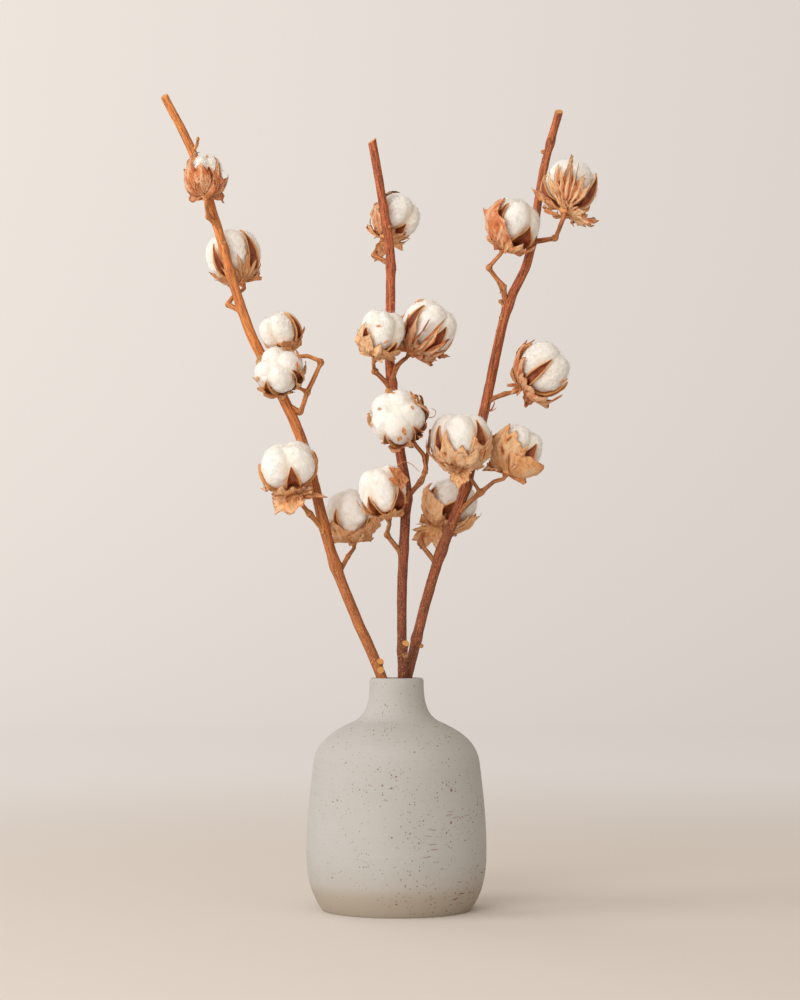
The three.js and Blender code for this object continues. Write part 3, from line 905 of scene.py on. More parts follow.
def warped(boll, direction):
    """The directions bent a little this way and that, so that no two locks are alike."""
    shift = Vector((boll.seed * 5.1, 0, 0))
    bend = np.array([noise.noise_vector(Vector(p) / WARP_SIZE + shift)[:] for p in direction.tolist()])
    return unit(direction + bend * WARP)


def cotton_surface(boll, direction):
    """Points of the cotton in the boll's frame, and how deep in a crease each one lies."""
    reach = lint_reach(boll, warped(boll, direction))
    full = direction * boll.semi * reach[:, None]
    tufts = field_noise(full, TUFT_SIZE, boll.seed, 3) * TUFT_HEIGHT
    wisps = (1 - np.abs(field_noise(full * (1, 1, 0.45), WISP_SIZE, boll.seed + 9, 2))) * WISP_HEIGHT
    held = np.exp(-(beside_valve(boll, direction) / 0.3) ** 2) * smooth(0.5, 0.0, direction[:, 2])
    points = full + unit(direction * boll.semi) * (tufts + wisps - VALVE_DENT * held)[:, None]
    points[:, 2] += boll.centre
    return points, np.clip((1.0 - reach) * 3.2, 0, 1)


def cotton_shape(boll, direction, faces):
    shape = Shape({"deep": 1, "lint": 3})
    points, deep = cotton_surface(boll, direction)
    shape.add(boll.placed(points), [faces], deep=deep, lint=points)
    add_fibres(shape, boll)
    return shape


def add_fibres(shape, boll):
    """Loose lint that lifts off the surface: thin closed tapered hairs, rooted in the cotton. The first
    STRANDS of them are longer and sway more."""
    rng = np.random.default_rng(100 + boll.seed)
    roots = unit(rng.normal(size=(FIBRES * 3, 3)))
    roots = roots[(roots[:, 2] > -0.25) & clear_of_valves(boll, roots)][:FIBRES]
    count = len(roots)
    column = (count, 1)
    surface, _ = cotton_surface(boll, roots)
    normals = unit(roots / boll.semi)
    along = unit(np.cross(normals, unit(rng.normal(size=(count, 3)))))
    curl = unit(np.cross(along, normals))
    strand = (np.arange(count) < STRANDS)[:, None]
    length = np.where(strand, rng.uniform(*STRAND_LENGTHS, column), rng.uniform(*FIBRE_LENGTHS, column))
    lift = rng.uniform(*FIBRE_LIFTS, column)
    sway = rng.normal(0, 1.2, column) * np.where(strand, 2.0, 1.0)
    thick = rng.uniform(*FIBRE_RADII, column)
    angles = [2 * math.pi * k / FIBRE_SIDES for k in range(FIBRE_SIDES)]
    rings = []
    for share in np.linspace(0, 1, FIBRE_KNOTS):
        sag = (share * length) ** 2 / (2 * boll.radius)
        rise = lift * share - sag - FIBRE_ROOT
        knot = surface + along * (length * share) + normals * rise + curl * (sway * share * share)
        size = thick * (1 - FIBRE_TAPER * share)
        rings += [knot + (normals * math.cos(a) + curl * math.sin(a)) * size for a in angles]
    points = np.stack([*rings[:-FIBRE_SIDES], knot], axis=1)
    offsets = (np.arange(count) * points.shape[1])[:, None, None]
    faces = [(block[None] + offsets).reshape(-1, block.shape[1]) for block in fibre_faces()]
    # The fibres get a little of the cotton's painted crease shade.
    shape.add(boll.placed(points).reshape(-1, 3), faces, deep=0.1)


def fibre_faces():
    """Faces of one fibre: its rings, its tip and its root."""
    first = np.arange(FIBRE_SIDES)
    quads = grid_faces(FIBRE_KNOTS - 1, FIBRE_SIDES, closed=True)
    last = (FIBRE_KNOTS - 2) * FIBRE_SIDES + first
    tip = np.stack([last, np.roll(last, -1), np.full(FIBRE_SIDES, (FIBRE_KNOTS - 1) * FIBRE_SIDES)], axis=1)
    return [quads, tip, first[None, ::-1]]


def beside_valve(boll, direction):
    """How far round the boll each direction is from the nearest valve, in radians."""
    turn = np.arctan2(direction[:, 1], direction[:, 0])
    step = 2 * math.pi / boll.locks
    return np.abs((turn - boll.turn + step / 2) % step - step / 2)


def clear_of_valves(boll, direction):
    return (beside_valve(boll, direction) > 0.28) | (direction[:, 2] > 0.25)


def cotton_finish():
    f = Finish("cotton", Roughness=0.95, Specular_IOR_Level=0.1, Sheen_Weight=0.35, Sheen_Roughness=0.6,
               Subsurface_Weight=0.4, Subsurface_Scale=0.004, Subsurface_Radius=(1, 0.97, 0.92))
    places = f.places()
    lint = f.vector("lint")
    thin = f.noise(f.scaled(lint, (1, 1, 0.3)), 0.55, 4, 0.65, 1.2)
    f.colour = rgb(255, 253, 249)
    f.paint(f.ramp(f.noise(places, 160, 4, 0.6), 0.35, 0.7), rgb(251, 247, 239))
    # Painted shade: creamier and darker deep in the creases between the locks.
    f.paint(f.times(f.value("deep"), 0.75), rgb(232, 218, 194))
    f.paint(f.ramp(f.noise(places, 75, 3, 0.6), 0.62, 0.78, 0, 0.5), rgb(232, 218, 190))
    f.paint(f.ramp(thin, 0.52, 0.74, 0.0, 0.35), rgb(238, 230, 210))
    f.set("Base Color", f.colour)
    fluff = f.noise(places, 700, 6, 0.7, 1.2)
    lumps = f.noise(places, 200, 4, 0.6, 0.8)
    strands = f.noise(f.scaled(lint, (1, 1, 0.25)), 0.9, 5, 0.72, 1.6)
    loose = f.bump(strands, 0.4, 0.0008, f.bump(lumps, 0.4, 0.0010))
    f.set("Normal", f.bump(fluff, 0.5, 0.0006, loose))
    return f.material


# ---- Bolls: burr ----

VALVE_ROWS = 23
VALVE_COLUMNS = 11
VALVE_START = 0.12
VALVE_THICKNESS = 0.9
VALVE_LIFT = 1.1
VALVE_TIP = 0.15


def add_valve(shape, boll, turn, reach, half_width, curl, rng):
    """A boat-shaped valve that lies in the groove between two locks: hollow outside, with raised rims and
    a sharp tip. reach is how far up the boll its tip comes, in radians from the lowest point."""
    u = np.linspace(0, 1, VALVE_ROWS)[None]
    v = np.linspace(-1, 1, VALVE_COLUMNS)[:, None]
    taper = (1 - u) * (0.5 + 3.5 * u) / 1.14 * (1 - 0.3 * smooth(0.6, 1.0, u))
    width = half_width * taper + VALVE_TIP
    theta = VALVE_START + (reach - VALVE_START) * u + 0 * v
    radius = np.maximum(boll.semi[0] * np.sin(theta) * 0.9, 1.0)
    spread = np.minimum(math.pi / boll.locks * 1.05, width / radius)
    around = turn + rng.normal(0, 0.06) * u + v * spread
    level = np.sin(theta)
    direction = np.stack([level * np.cos(around), level * np.sin(around), -np.cos(theta)], axis=-1)
    surface = direction * boll.semi * held_lint(boll, direction, u)[..., None]
    rolled = np.abs(v) ** 2.5 * (1.0 + 1.3 * np.sin(math.pi * u))
    ragged = field_noise(surface, 3.0, boll.seed + turn, 2) * 0.35
    lifted = VALVE_LIFT + rolled + curl * smooth(0.45, 1.0, u) ** 2 + ragged * np.abs(v)
    outer = surface + unit(direction * boll.semi) * lifted[..., None]
    outer[..., 2] += boll.centre
    edge = np.maximum(np.abs(v) + 0 * u, smooth(0.9, 1.0, u) + 0 * v)
    thick = VALVE_THICKNESS * (1 - 0.3 * np.abs(v)) * (1 - 0.5 * u)
    husk = np.stack([u * 20 + 0 * v, v * width, edge], axis=-1)
    add_sheet(shape, boll.placed(outer), thick, husk=husk)


def held_lint(boll, direction, u):
    """How far out the cotton under a valve comes. The valve presses the swellings of the seeds flat, but
    for its first part, where it rides over them."""
    flat = direction.reshape(-1, 3)
    smooth_lint = lint_reach(boll, flat, seeds=False).reshape(direction.shape[:-1])
    seeded_lint = lint_reach(boll, flat).reshape(direction.shape[:-1])
    pushed = np.maximum(seeded_lint - smooth_lint, 0) * smooth(0.6, 0.35, u)
    return np.minimum(smooth_lint, 1.0) + pushed


def burr_shape(boll, valves):
    shape = Shape({"husk": 3, "inner": 1})
    rng = np.random.default_rng(200 + boll.seed)
    step = 2 * math.pi / boll.locks
    for i in range(boll.locks):
        reach, width, curl = valves.get(i, valves["all"])
        reach = reach * (1 + rng.normal(0, 0.03))
        add_valve(shape, boll, boll.turn + i * step, reach, width * boll.radius, curl, rng)
    return shape


def burr_finish():
    f = Finish("burr", Specular_IOR_Level=0.4)
    husk = f.vector("husk")
    places = f.places()
    mottle = f.noise(places, 260, 4, 0.65)
    lining = f.mix(mottle, rgb(236, 180, 116), rgb(214, 150, 90))
    rim = f.mix(mottle, rgb(244, 184, 114), rgb(200, 128, 72))
    dots = f.ramp(f.cells(places, 900), 0.32, 0.16)
    f.colour = rgb(112, 48, 22)
    f.paint(f.ramp(mottle, 0.35, 0.65), rgb(160, 84, 42))
    f.paint(f.times(dots, 0.6), rgb(66, 34, 20))
    f.paint(f.value("inner"), lining)
    f.paint(f.ramp(f.part(husk, 2), 0.76, 0.92), rim)
    f.set("Base Color", f.colour)
    f.set("Roughness", f.ramp(mottle, 0.3, 0.7, 0.5, 0.72))
    fibre = f.noise(f.scaled(husk, (0.3, 1.6, 0)), 1.0, 3, 0.6)
    f.set("Normal", f.bump(fibre, 0.4, 0.0004, f.bump(mottle, 0.4, 0.0005)))
    return f.material


# ---- Bolls: bracts ----

BRACT_ROOT = (3.0, 0.8)
BRACT_FIRST = 0.9
BRACT_STEPS = 18
RAYS_PER_TOOTH = 8
RAYS_PER_LOBE = 8
TOOTHED_ARC = 68
BRACT_THICKNESS = 0.3
BRACT_OFFSET = 1.8
BRACT_STACK = 0.8
PEDICEL_CLEAR = 2.6
FAN_VEINS = 24
FOLD_STRETCH = 0.5
FOLD_RADIUS = 15.0
FOLD_SIZE = 4.0
FOLD_HEIGHT = 1.8
BUMP_SIZE = 9.0
BUMP_HEIGHT = 1.6
PLEAT_HEIGHT = 0.34
TOOTH_CURLS = (0.3, 0.8, 1.3, -0.5)
LOBES = 0.55
# Radius and height round the swollen end of the pedicel, and its sides.
RECEPTACLE = (
    (0.7, -1.3), (1.7, -1.2), (2.3, -0.5), (3.1, 0.4), (3.9, 1.2), (4.9, 2.6), (3.8, 2.9), (1.4, 2.6),
)
RECEPTACLE_SIDES = 20
SCRAP_ROWS = 5
SCRAP_COLUMNS = 9
SCRAP_THICKNESS = 0.3
HAIR_RADII = (0.4, 0.2)
# The outline of a leaf: its rays' lengths, as shares of the midrib's, at angles from the midrib.
LEAF_ANGLES = (0, 20, 45, 70, 100, 140)
LEAF_SHARES = (1.0, 0.93, 0.79, 0.66, 0.56, 0.45)
ROUND_SHARES = (1.0, 1.0, 0.95, 0.86, 0.72, 0.5)


def leaf_rays(spread, teeth, cut, lobes, broad, rng):
    """The rays of a heart-shaped leaf: their angles from its midrib, their lengths as shares of the
    midrib's, and how far each one lies from the middle of its tooth."""
    arc = min(spread, TOOTHED_ARC)
    bounds = np.concatenate([[0], np.cumsum(rng.uniform(0.7, 1.3, teeth))])
    bounds = bounds / bounds[-1] * 2 * arc - arc
    phase = np.linspace(0, teeth, teeth * RAYS_PER_TOOTH + 1)
    angles = np.interp(phase, np.arange(teeth + 1), bounds)
    whole = np.minimum(phase.astype(int), teeth - 1)
    beside = np.abs((phase - whole) * 2 - 1)
    taller = rng.uniform(0.84, 1.08, teeth)
    taller[teeth // 2] = 1.12
    depth = cut * rng.uniform(0.6, 1.2, teeth)[whole]
    peak = (1 - beside) ** 1.35
    outline = np.array(LEAF_SHARES) * (1 - broad) + np.array(ROUND_SHARES) * broad
    shares = np.interp(np.abs(angles), LEAF_ANGLES, outline) * (1 - depth * (1 - peak))
    shares = shares * (1 + (taller[whole] - 1) * peak)
    if spread > arc:
        more = np.linspace(arc, spread, RAYS_PER_LOBE + 1)[1:]
        scallop = 1 + 0.08 * np.sin(more * 0.35 + rng.uniform(0, 6))
        lobe = np.interp(more, LEAF_ANGLES, outline) * lobes / LOBES * scallop
        fade = np.linspace(0, 1, RAYS_PER_LOBE + 1)[1:] ** 0.5
        left, right = (end + (lobe - end) * fade for end in shares[[0, -1]])
        wavy = 0.5 + 0.5 * np.cos(more * 0.3)
        angles = np.concatenate([-more[::-1], angles, more])
        shares = np.concatenate([left[::-1], shares, right])
        beside = np.concatenate([wavy[::-1], beside, wavy])
    return np.radians(angles), shares, beside


def outside_egg(boll, points, offset):
    """The points, with those inside the boll's egg shape moved out to `offset` from it, and those in the
    pedicel's way moved aside."""
    centre = UP * boll.centre
    inside = np.linalg.norm((points - centre) / (boll.semi + offset), axis=-1, keepdims=True)
    moved = centre + (points - centre) / np.minimum(inside, 1.0)
    across = np.linalg.norm(moved[..., :2], axis=-1, keepdims=True)
    wider = np.maximum(PEDICEL_CLEAR / np.maximum(across, 0.1), 1.0)
    low = smooth(1.5, 0.0, moved[..., 2:])
    moved[..., :2] *= 1 + (wider - 1) * low
    return moved


def leaf_courses(outward, aside, headings, rise, hang, fold):
    """The direction in which each ray sets off from the root."""
    along = outward * math.cos(rise) + UP * math.sin(rise)
    away = outward * math.sin(rise) - UP * math.cos(rise)
    back = outward * math.sin(hang) - UP * math.cos(hang)
    c = np.cos(headings)[:, None]
    s = np.sin(headings)[:, None]
    course = np.maximum(c, 0) * along + np.maximum(-c, 0) * back + s * math.cos(fold) * aside
    return unit(course - np.abs(s) * math.sin(fold) * away)


def leaf_bend(boll, headings, lean, hug, offset, seed):
    """How fast each ray turns in towards the boll, in radians a millimetre. The lower lobes turn away."""
    flat = np.stack([headings * 1.6, 0 * headings, 0 * headings + seed], axis=1)
    wander = field_noise(flat, 1.0, boll.seed, 2)
    forward = smooth(-0.8, -0.2, np.cos(headings + lean))
    return (hug * forward - 0.5 * (1 - forward)) * (1 + 0.3 * wander) / (boll.semi.mean() + offset)


def bent_rays(boll, root, course, reach, bend, curls):
    """A grid with a row of points for each ray. bend: as leaf_bend gives it. curls: how far each ray's
    end turns out."""
    inward = UP * boll.centre - root
    inward = unit(inward - course * (course @ inward)[:, None])
    points = [root + course * BRACT_FIRST]
    for k in range(1, BRACT_STEPS + 1):
        share = k / BRACT_STEPS
        angle = bend * reach * share - curls * smooth(0.55, 1.0, share)
        step = course * np.cos(angle)[:, None] + inward * np.sin(angle)[:, None]
        points.append(points[-1] + step * (reach / BRACT_STEPS)[:, None])
    return np.stack(points, axis=1)


def add_bract(shape, boll, turn, length, teeth, cut, tone, seed, offset, spread=110, rise=14, hug=1.0,
              lobes=LOBES, hang=35, lean=0, fold=0, curl=35, crumple=1.0, pleat=1.0, broad=0.0):
    """A dry papery leaf, heart-shaped, that cups the boll from below. Angles are in degrees.
    turn: where it stands round the boll, 0 at the front and 90 at the right. offset: how far it stays off
    the boll. spread: half the angle that it fills. rise: how steeply it sets off. hug: 1 follows the boll,
    0 stays straight. cut: how deep its teeth are. lobes: the length of its lower lobes. hang: how far they
    stand out from the pedicel. lean: turns it in its own plane. fold: bends its two halves in. curl: how
    far its teeth bend out. broad: 0 for a heart's outline, 1 for a round one. tone: 0 pale, 1 pink."""
    rng = np.random.default_rng(1000 * boll.seed + seed)
    headings, shares, beside = leaf_rays(spread, teeth, cut, lobes, broad, rng)
    turn, rise, hang, lean, fold, curl = (math.radians(v) for v in (turn, rise, hang, lean, fold, curl))
    outward = np.array((math.cos(turn), math.sin(turn), 0))
    aside = np.array((-math.sin(turn), math.cos(turn), 0))
    course = leaf_courses(outward, aside, headings + lean, rise, hang, fold)
    root = outward * BRACT_ROOT[0] + UP * BRACT_ROOT[1]
    bend = leaf_bend(boll, headings, lean, hug, offset, seed)
    tooth = np.round(np.cumsum(beside > 0.99) / 2).astype(int)
    curls = curl * rng.choice(TOOTH_CURLS, tooth.max() + 1)[tooth]
    reach = length * shares
    stacked = offset + 0.5 * np.sin(headings)[:, None, None]
    grid = outside_egg(boll, bent_rays(boll, root, course, reach, bend, curls), stacked)
    share = np.linspace(0, 1, BRACT_STEPS + 1)[None] + 0 * reach[:, None]
    run = share * reach[:, None]
    grow = smooth(0.0, 0.5, share) * smooth(0, 12, reach)[:, None]
    lumps = field_noise(grid, BUMP_SIZE, boll.seed + seed, 2) * BUMP_HEIGHT * crumple
    relief = leaf_relief(boll.seed + seed + 5, run, share, headings, beside, crumple, pleat, seed)
    grid = grid + grid_normals(grid) * ((lumps + relief) * grow)[..., None]
    grid = outside_egg(boll, grid, stacked - 0.7)
    half = (beside * np.gradient(headings) * RAYS_PER_TOOTH / 2)[:, None] * run
    leaf = np.stack([run, half, reach[:, None] - run], axis=-1)
    # The relief is kept for the finish's painted shade in valleys and painted highlight on ridges.
    look = np.stack([tone + 0 * run, headings[:, None] + 0 * run, relief * grow], axis=-1)
    add_sheet(shape, boll.placed(grid), BRACT_THICKNESS * (1 - 0.4 * share), leaf=leaf, look=look)


def leaf_relief(fold_seed, run, share, headings, beside, crumple, pleat, fan_phase):
    """How high the leaf's creases, the veins of its teeth and the fan of pleats at its root stand."""
    folded = np.stack([run * FOLD_STRETCH, headings[:, None] * FOLD_RADIUS + 0 * run, 0 * run], axis=-1)
    creases = (0.45 - np.abs(field_noise(folded, FOLD_SIZE, fold_seed, 3))) * FOLD_HEIGHT
    veins = np.cos(beside * math.pi)[:, None] * PLEAT_HEIGHT * pleat * (1 - 0.4 * share)
    fan = np.cos(headings * FAN_VEINS + fan_phase)[:, None] * PLEAT_HEIGHT * pleat * smooth(1.15, 0.4, share)
    return creases * crumple + veins + fan


def add_receptacle(shape, boll):
    """The swollen end of the pedicel that the bracts grow from."""
    grid = lathe(np.array(RECEPTACLE), RECEPTACLE_SIDES)
    grid[..., :2] *= (1 + field_noise(grid, 2.0, boll.seed, 2) * 0.07)[..., None]
    points = np.vstack([grid.reshape(-1, 3), [(0, 0, -1.3), (0, 0, 2.5)]])
    faces = lathe_faces(len(RECEPTACLE), RECEPTACLE_SIDES)
    shape.add(boll.placed(points), faces, leaf=(6.0, 2.0, 4.0), look=(0.5, 0.0, 0.0))


def add_scrap(shape, boll, seed, turn, up, length, width, spin, lift=1.5):
    """A curled chip of dry leaf, or the tip of a valve, that lies on the cotton. Angles are in degrees.
    turn and up: where it lies round the boll and up from its lowest point. spin: how it is turned there."""
    turn, up, spin = (math.radians(v) for v in (turn, up, spin))
    place = np.array([[math.sin(up) * math.cos(turn), math.sin(up) * math.sin(turn), -math.cos(up)]])
    start = cotton_surface(boll, place)[0][0]
    normal = unit(place / boll.semi)[0]
    level = unit(np.cross(UP, normal))
    along = level * math.sin(spin) + np.cross(normal, level) * math.cos(spin)
    across = np.cross(along, normal)
    u = np.linspace(-1, 1, SCRAP_COLUMNS)[None]
    v = np.linspace(-1, 1, SCRAP_ROWS)[:, None]
    half = width / 2 * (1 - np.abs(u)) ** 0.8 * (1 + 0.2 * np.sin(5 * u + seed)) + 0.1
    sag = (u * length / 2) ** 2 / (2 * boll.radius)
    raised = 0.3 + lift * ((u + 1) / 2) ** 2 + 0.5 * half * v * v - sag
    flat = start + along * (length / 2 * u + 0 * v)[..., None] + across * (v * half)[..., None]
    grid = flat + normal * raised[..., None]
    grid = grid + field_noise(grid, 2.0, seed, 2)[..., None] * normal * 0.25
    leaf = np.broadcast_to((4.0, 1.0, 1.0), grid.shape)
    # A relief below zero gives the chip a little painted shade.
    look = np.broadcast_to((0.3, 0.3, -0.25), grid.shape)
    add_sheet(shape, boll.placed(grid), SCRAP_THICKNESS, leaf=leaf, look=look)


def bracts_shape(boll, leaves, scraps, hairs):
    shape = Shape({"leaf": 3, "look": 3, "inner": 1})
    add_receptacle(shape, boll)
    for i, leaf in enumerate(leaves):
        add_bract(shape, boll, seed=i * 13, offset=BRACT_OFFSET + BRACT_STACK * i, **leaf)
    for i, scrap in enumerate(scraps):
        add_scrap(shape, boll, i, *scrap)
    for points in hairs:
        add_tube(shape, points, HAIR_RADII, STEM_BEND, sides=6, step=0.9, rough=0.02, cut=(0, 0))
    return shape


def bract_finish():
    f = Finish("bracts", Roughness=0.8, Specular_IOR_Level=0.2, Subsurface_Weight=0.15,
               Subsurface_Scale=0.001, Subsurface_Radius=(1, 0.8, 0.65))
    leaf, look = f.vector("leaf"), f.vector("look")
    places = f.places()
    along, lateral, rim = (f.part(leaf, axis) for axis in range(3))
    tone, heading, relief = (f.part(look, axis) for axis in range(3))
    cloud = f.noise(places, 130, 4, 0.62)
    spread = f.moved(f.scaled(leaf, (0.14, 0, 0)), f.scaled(look, (9, 6, 0)))
    wrinkles = f.apart(f.noise(spread, 1.0, 4, 0.6, 0.5), 0.5)
    lines = vein_lines(f, along, lateral, heading)
    net = f.ramp(f.cells(places, 620, feature="DISTANCE_TO_EDGE"), 0.09, 0.02)
    ragged = f.plus(rim, f.ramp(f.noise(places, 500, 2), 0.3, 0.7, -0.7, 0.9))
    blotch = f.plus(f.noise(places, 60, 3, 0.6), f.times(tone, 0.6))
    f.colour = f.mix(cloud, rgb(255, 200, 146), rgb(246, 158, 98))
    f.paint(f.ramp(blotch, 0.65, 1.05), f.mix(cloud, rgb(236, 140, 88), rgb(202, 94, 50)))
    f.paint(f.ramp(f.noise(places, 420, 4, 0.7), 0.54, 0.78, 0, 0.45), rgb(192, 106, 58))
    # Painted shade in the valleys of the leaf's relief.
    f.paint(f.ramp(relief, -0.1, -0.8, 0.0, 0.85), rgb(124, 44, 14))
    # Painted shade in the wrinkles' creases, and a painted highlight along their ridges.
    f.paint(f.ramp(wrinkles, 0.04, 0.0, 0.0, 0.55), rgb(170, 76, 34))
    f.paint(f.ramp(wrinkles, 0.1, 0.24, 0.0, 0.4), rgb(255, 224, 186))
    f.paint(f.times(lines, 0.6), rgb(255, 208, 146))
    f.paint(f.times(net, 0.2), rgb(250, 198, 134))
    # Painted highlight on the ridges of the leaf's relief.
    f.paint(f.ramp(relief, 0.2, 0.9, 0.0, 0.55), rgb(255, 220, 180))
    f.paint(f.ramp(ragged, 1.3, 0.1, 0.0, 0.6), rgb(140, 72, 40))
    f.set("Base Color", f.colour)
    f.set("Roughness", f.ramp(cloud, 0.3, 0.7, 0.66, 0.86))
    paper = f.bump(f.noise(places, 800, 5, 0.7, 0.6), 0.5, 0.0005)
    folds = f.bump(wrinkles, 0.8, 0.003, paper)
    f.set("Normal", f.bump(f.plus(lines, f.times(net, 0.4)), 0.5, 0.0005, folds))
    return f.material


def vein_lines(f, along, lateral, heading):
    """1 on a leaf's veins: one to each tooth, ribs that branch off it, and a close fan near the stalk."""
    main = f.ramp(lateral, 0.5, 0.12)
    rib = f.math("FRACT", f.times(f.minus(along, f.times(lateral, 1.6)), 0.42))
    rib = f.times(f.ramp(f.apart(rib, 0.5), 0.10, 0.02), f.ramp(lateral, 0.2, 0.6))
    spoke = f.math("FRACT", f.times(heading, FAN_VEINS / (2 * math.pi)))
    spoke = f.times(f.ramp(f.apart(spoke, 0.5), 0.16, 0.04), f.ramp(along, 15.0, 5.0))
    minor = f.plus(f.times(rib, 0.5), f.times(spoke, 0.6))
    return f.math("ADD", main, minor, clamp=True)


# ---- What each boll looks like ----

def leaf(turn, length, teeth=7, cut=0.38, tone=0.5, **more):
    """One bract, as add_bract takes it."""
    return dict(turn=turn, length=length, teeth=teeth, cut=cut, tone=tone, **more)


# The bracts of each boll: turn, length, teeth, cut and tone, then what differs from add_bract's defaults.
LEAVES = {
    "L1": [leaf(46, 32, 3, 0.5, 1.0, spread=112, hang=18, lobes=0.42, curl=20, crumple=1.2, broad=0.5),
           leaf(-46, 36, 3, 0.34, 0.95, spread=112, hang=14, lobes=0.36, curl=5, crumple=1.3, broad=0.3),
           leaf(180, 30, 6, tone=0.7, hang=15, lobes=0.4)],
    "L2": [leaf(18, 29, 6, 0.55, 0.4, hang=25, lobes=0.4, spread=90),
           leaf(-62, 23, 5, 0.4, lobes=0.4, hang=25),
           leaf(160, 26)],
    "L3": [leaf(80, 18, 4, 0.2, hang=25, curl=5),
           leaf(-20, 17, 4, 0.12, 0.2, spread=100, broad=1.0),
           leaf(200, 22, 6, tone=0.4)],
    "L4": [leaf(50, 31, 5, 0.4, 0.2, crumple=1.4),
           leaf(-62, 28, 4, 0.35, spread=85),
           leaf(175, 24, 6)],
    "L5": [leaf(62, 22, 4, 0.5, rise=-25, hug=0.4, spread=80),
           leaf(-22, 24, 5, 0.2, 0.15, rise=-42, hug=0.45, spread=100, broad=0.3, crumple=1.7, curl=20),
           leaf(-50, 25, 5, 0.2, 0.1, spread=100, broad=0.5, crumple=1.5, hang=20),
           leaf(190, 28)],
    "L6": [leaf(58, 29, 3, 0.15, 0.3, hug=0.95, broad=0.5, lobes=0.4, hang=30, curl=15),
           leaf(-38, 25, 3, 0.1, 0.15, broad=0.9, lobes=0.45, hang=30, curl=10, spread=100),
           leaf(190, 28)],
    "M1": [leaf(-78, 36, 4, 0.5, 0.9, fold=10, crumple=1.7, hang=20, lobes=0.4),
           leaf(62, 16, 4, 0.3, 0.6, curl=60, lobes=0.35, hang=25, broad=0.5, spread=95),
           leaf(30, 21, 1, spread=26, rise=-74, hug=0.0, crumple=0.8, curl=0),
           leaf(180, 29, 6)],
    "M2": [leaf(-42, 28, 5, 0.3, 0.3, crumple=1.7, lobes=0.4, hang=25),
           leaf(58, 18, 3, 0.08, 0.1, spread=100, broad=1.0),
           leaf(175, 25, 6, tone=0.4)],
    "M3": [leaf(112, 28, 6, 0.4, 0.8, hug=0.9),
           leaf(14, 41, 6, 0.65, 0.95, lean=-8, crumple=1.4, lobes=0.45, hang=20, spread=115),
           leaf(-125, 27, 6, tone=0.6)],
    "M4": [leaf(68, 38, 5, 0.5, 0.7),
           leaf(-22, 33, 4, 0.45, 0.8, spread=80),
           leaf(200, 25, 6)],
    "M5": [leaf(10, 15, 5, 0.12, 0.1, spread=100, broad=0.8),
           leaf(125, 26, 5, 0.3, 0.8),
           leaf(-110, 23, 6, tone=0.4)],
    "R1": [leaf(-80, 25, 1, 0.2, 0.6, spread=15, hug=0.3, rise=22, curl=110),
           leaf(66, 24, 6, 0.35, rise=-34, hug=0.6, crumple=1.5, lobes=0.5, hang=20),
           leaf(-6, 39, 7, 0.44, 0.6, pleat=1.9, crumple=1.6, curl=25, spread=50),
           leaf(175, 30)],
    "R2": [leaf(48, 25, 6, 0.2, rise=-6, lobes=0.5, hang=30, broad=0.4),
           leaf(-60, 36, 3, 0.1, 0.9, spread=108, lobes=0.34, hang=18, broad=0.5),
           leaf(178, 27)],
    "R3": [leaf(58, 31, 5, 0.35, 0.8, rise=-8, hug=0.85, lean=12, lobes=0.6, hang=15, crumple=1.5),
           leaf(-84, 36, 4, 0.35, 0.8, fold=12, hang=20, lobes=0.4),
           leaf(-20, 13, 4, 0.75, 0.7, spread=55, rise=-40, hug=0.0, curl=50, pleat=0.6),
           leaf(175, 28)],
    "R4": [leaf(44, 33, 4, 0.26, 0.4, crumple=1.8, lobes=0.32, hang=22, broad=0.3, curl=25),
           leaf(-26, 35, 5, 0.26, 0.2, crumple=1.9, lobes=0.36, hang=22, broad=0.3, curl=25),
           leaf(-98, 30, 6, 0.4, 0.4),
           leaf(-30, 15, 3, 0.2, 0.2, spread=80, rise=-62, hug=0.0, crumple=1.4),
           leaf(165, 28)],
    "R5": [leaf(64, 25, 1, 0.0, 0.05, spread=105, rise=-6, crumple=0.6, lobes=0.7, curl=-10, broad=1.0,
                hang=38),
           leaf(-45, 35, 7, 0.16, 0.2, crumple=1.7, lobes=0.3, hang=20, broad=0.7, spread=75, curl=15),
           leaf(-75, 16, 5, 0.75, 0.7, spread=50, rise=-15, hug=0.2, curl=50, pleat=0.6),
           leaf(175, 28)],
    "R6": [leaf(4, 16, 5, 0.42, crumple=1.7, hang=20, lobes=0.4),
           leaf(78, 33, 6, 0.22, pleat=2.2, curl=10, lobes=0.4),
           leaf(-20, 23, 5, 0.3, 0.3, spread=70, rise=-68, hug=0.15, crumple=1.5, curl=10),
           leaf(-76, 32, 3, 0.06, 0.3, spread=85, hang=20, lobes=0.4, crumple=1.4, broad=0.7, curl=5),
           leaf(185, 28, 6)],
}
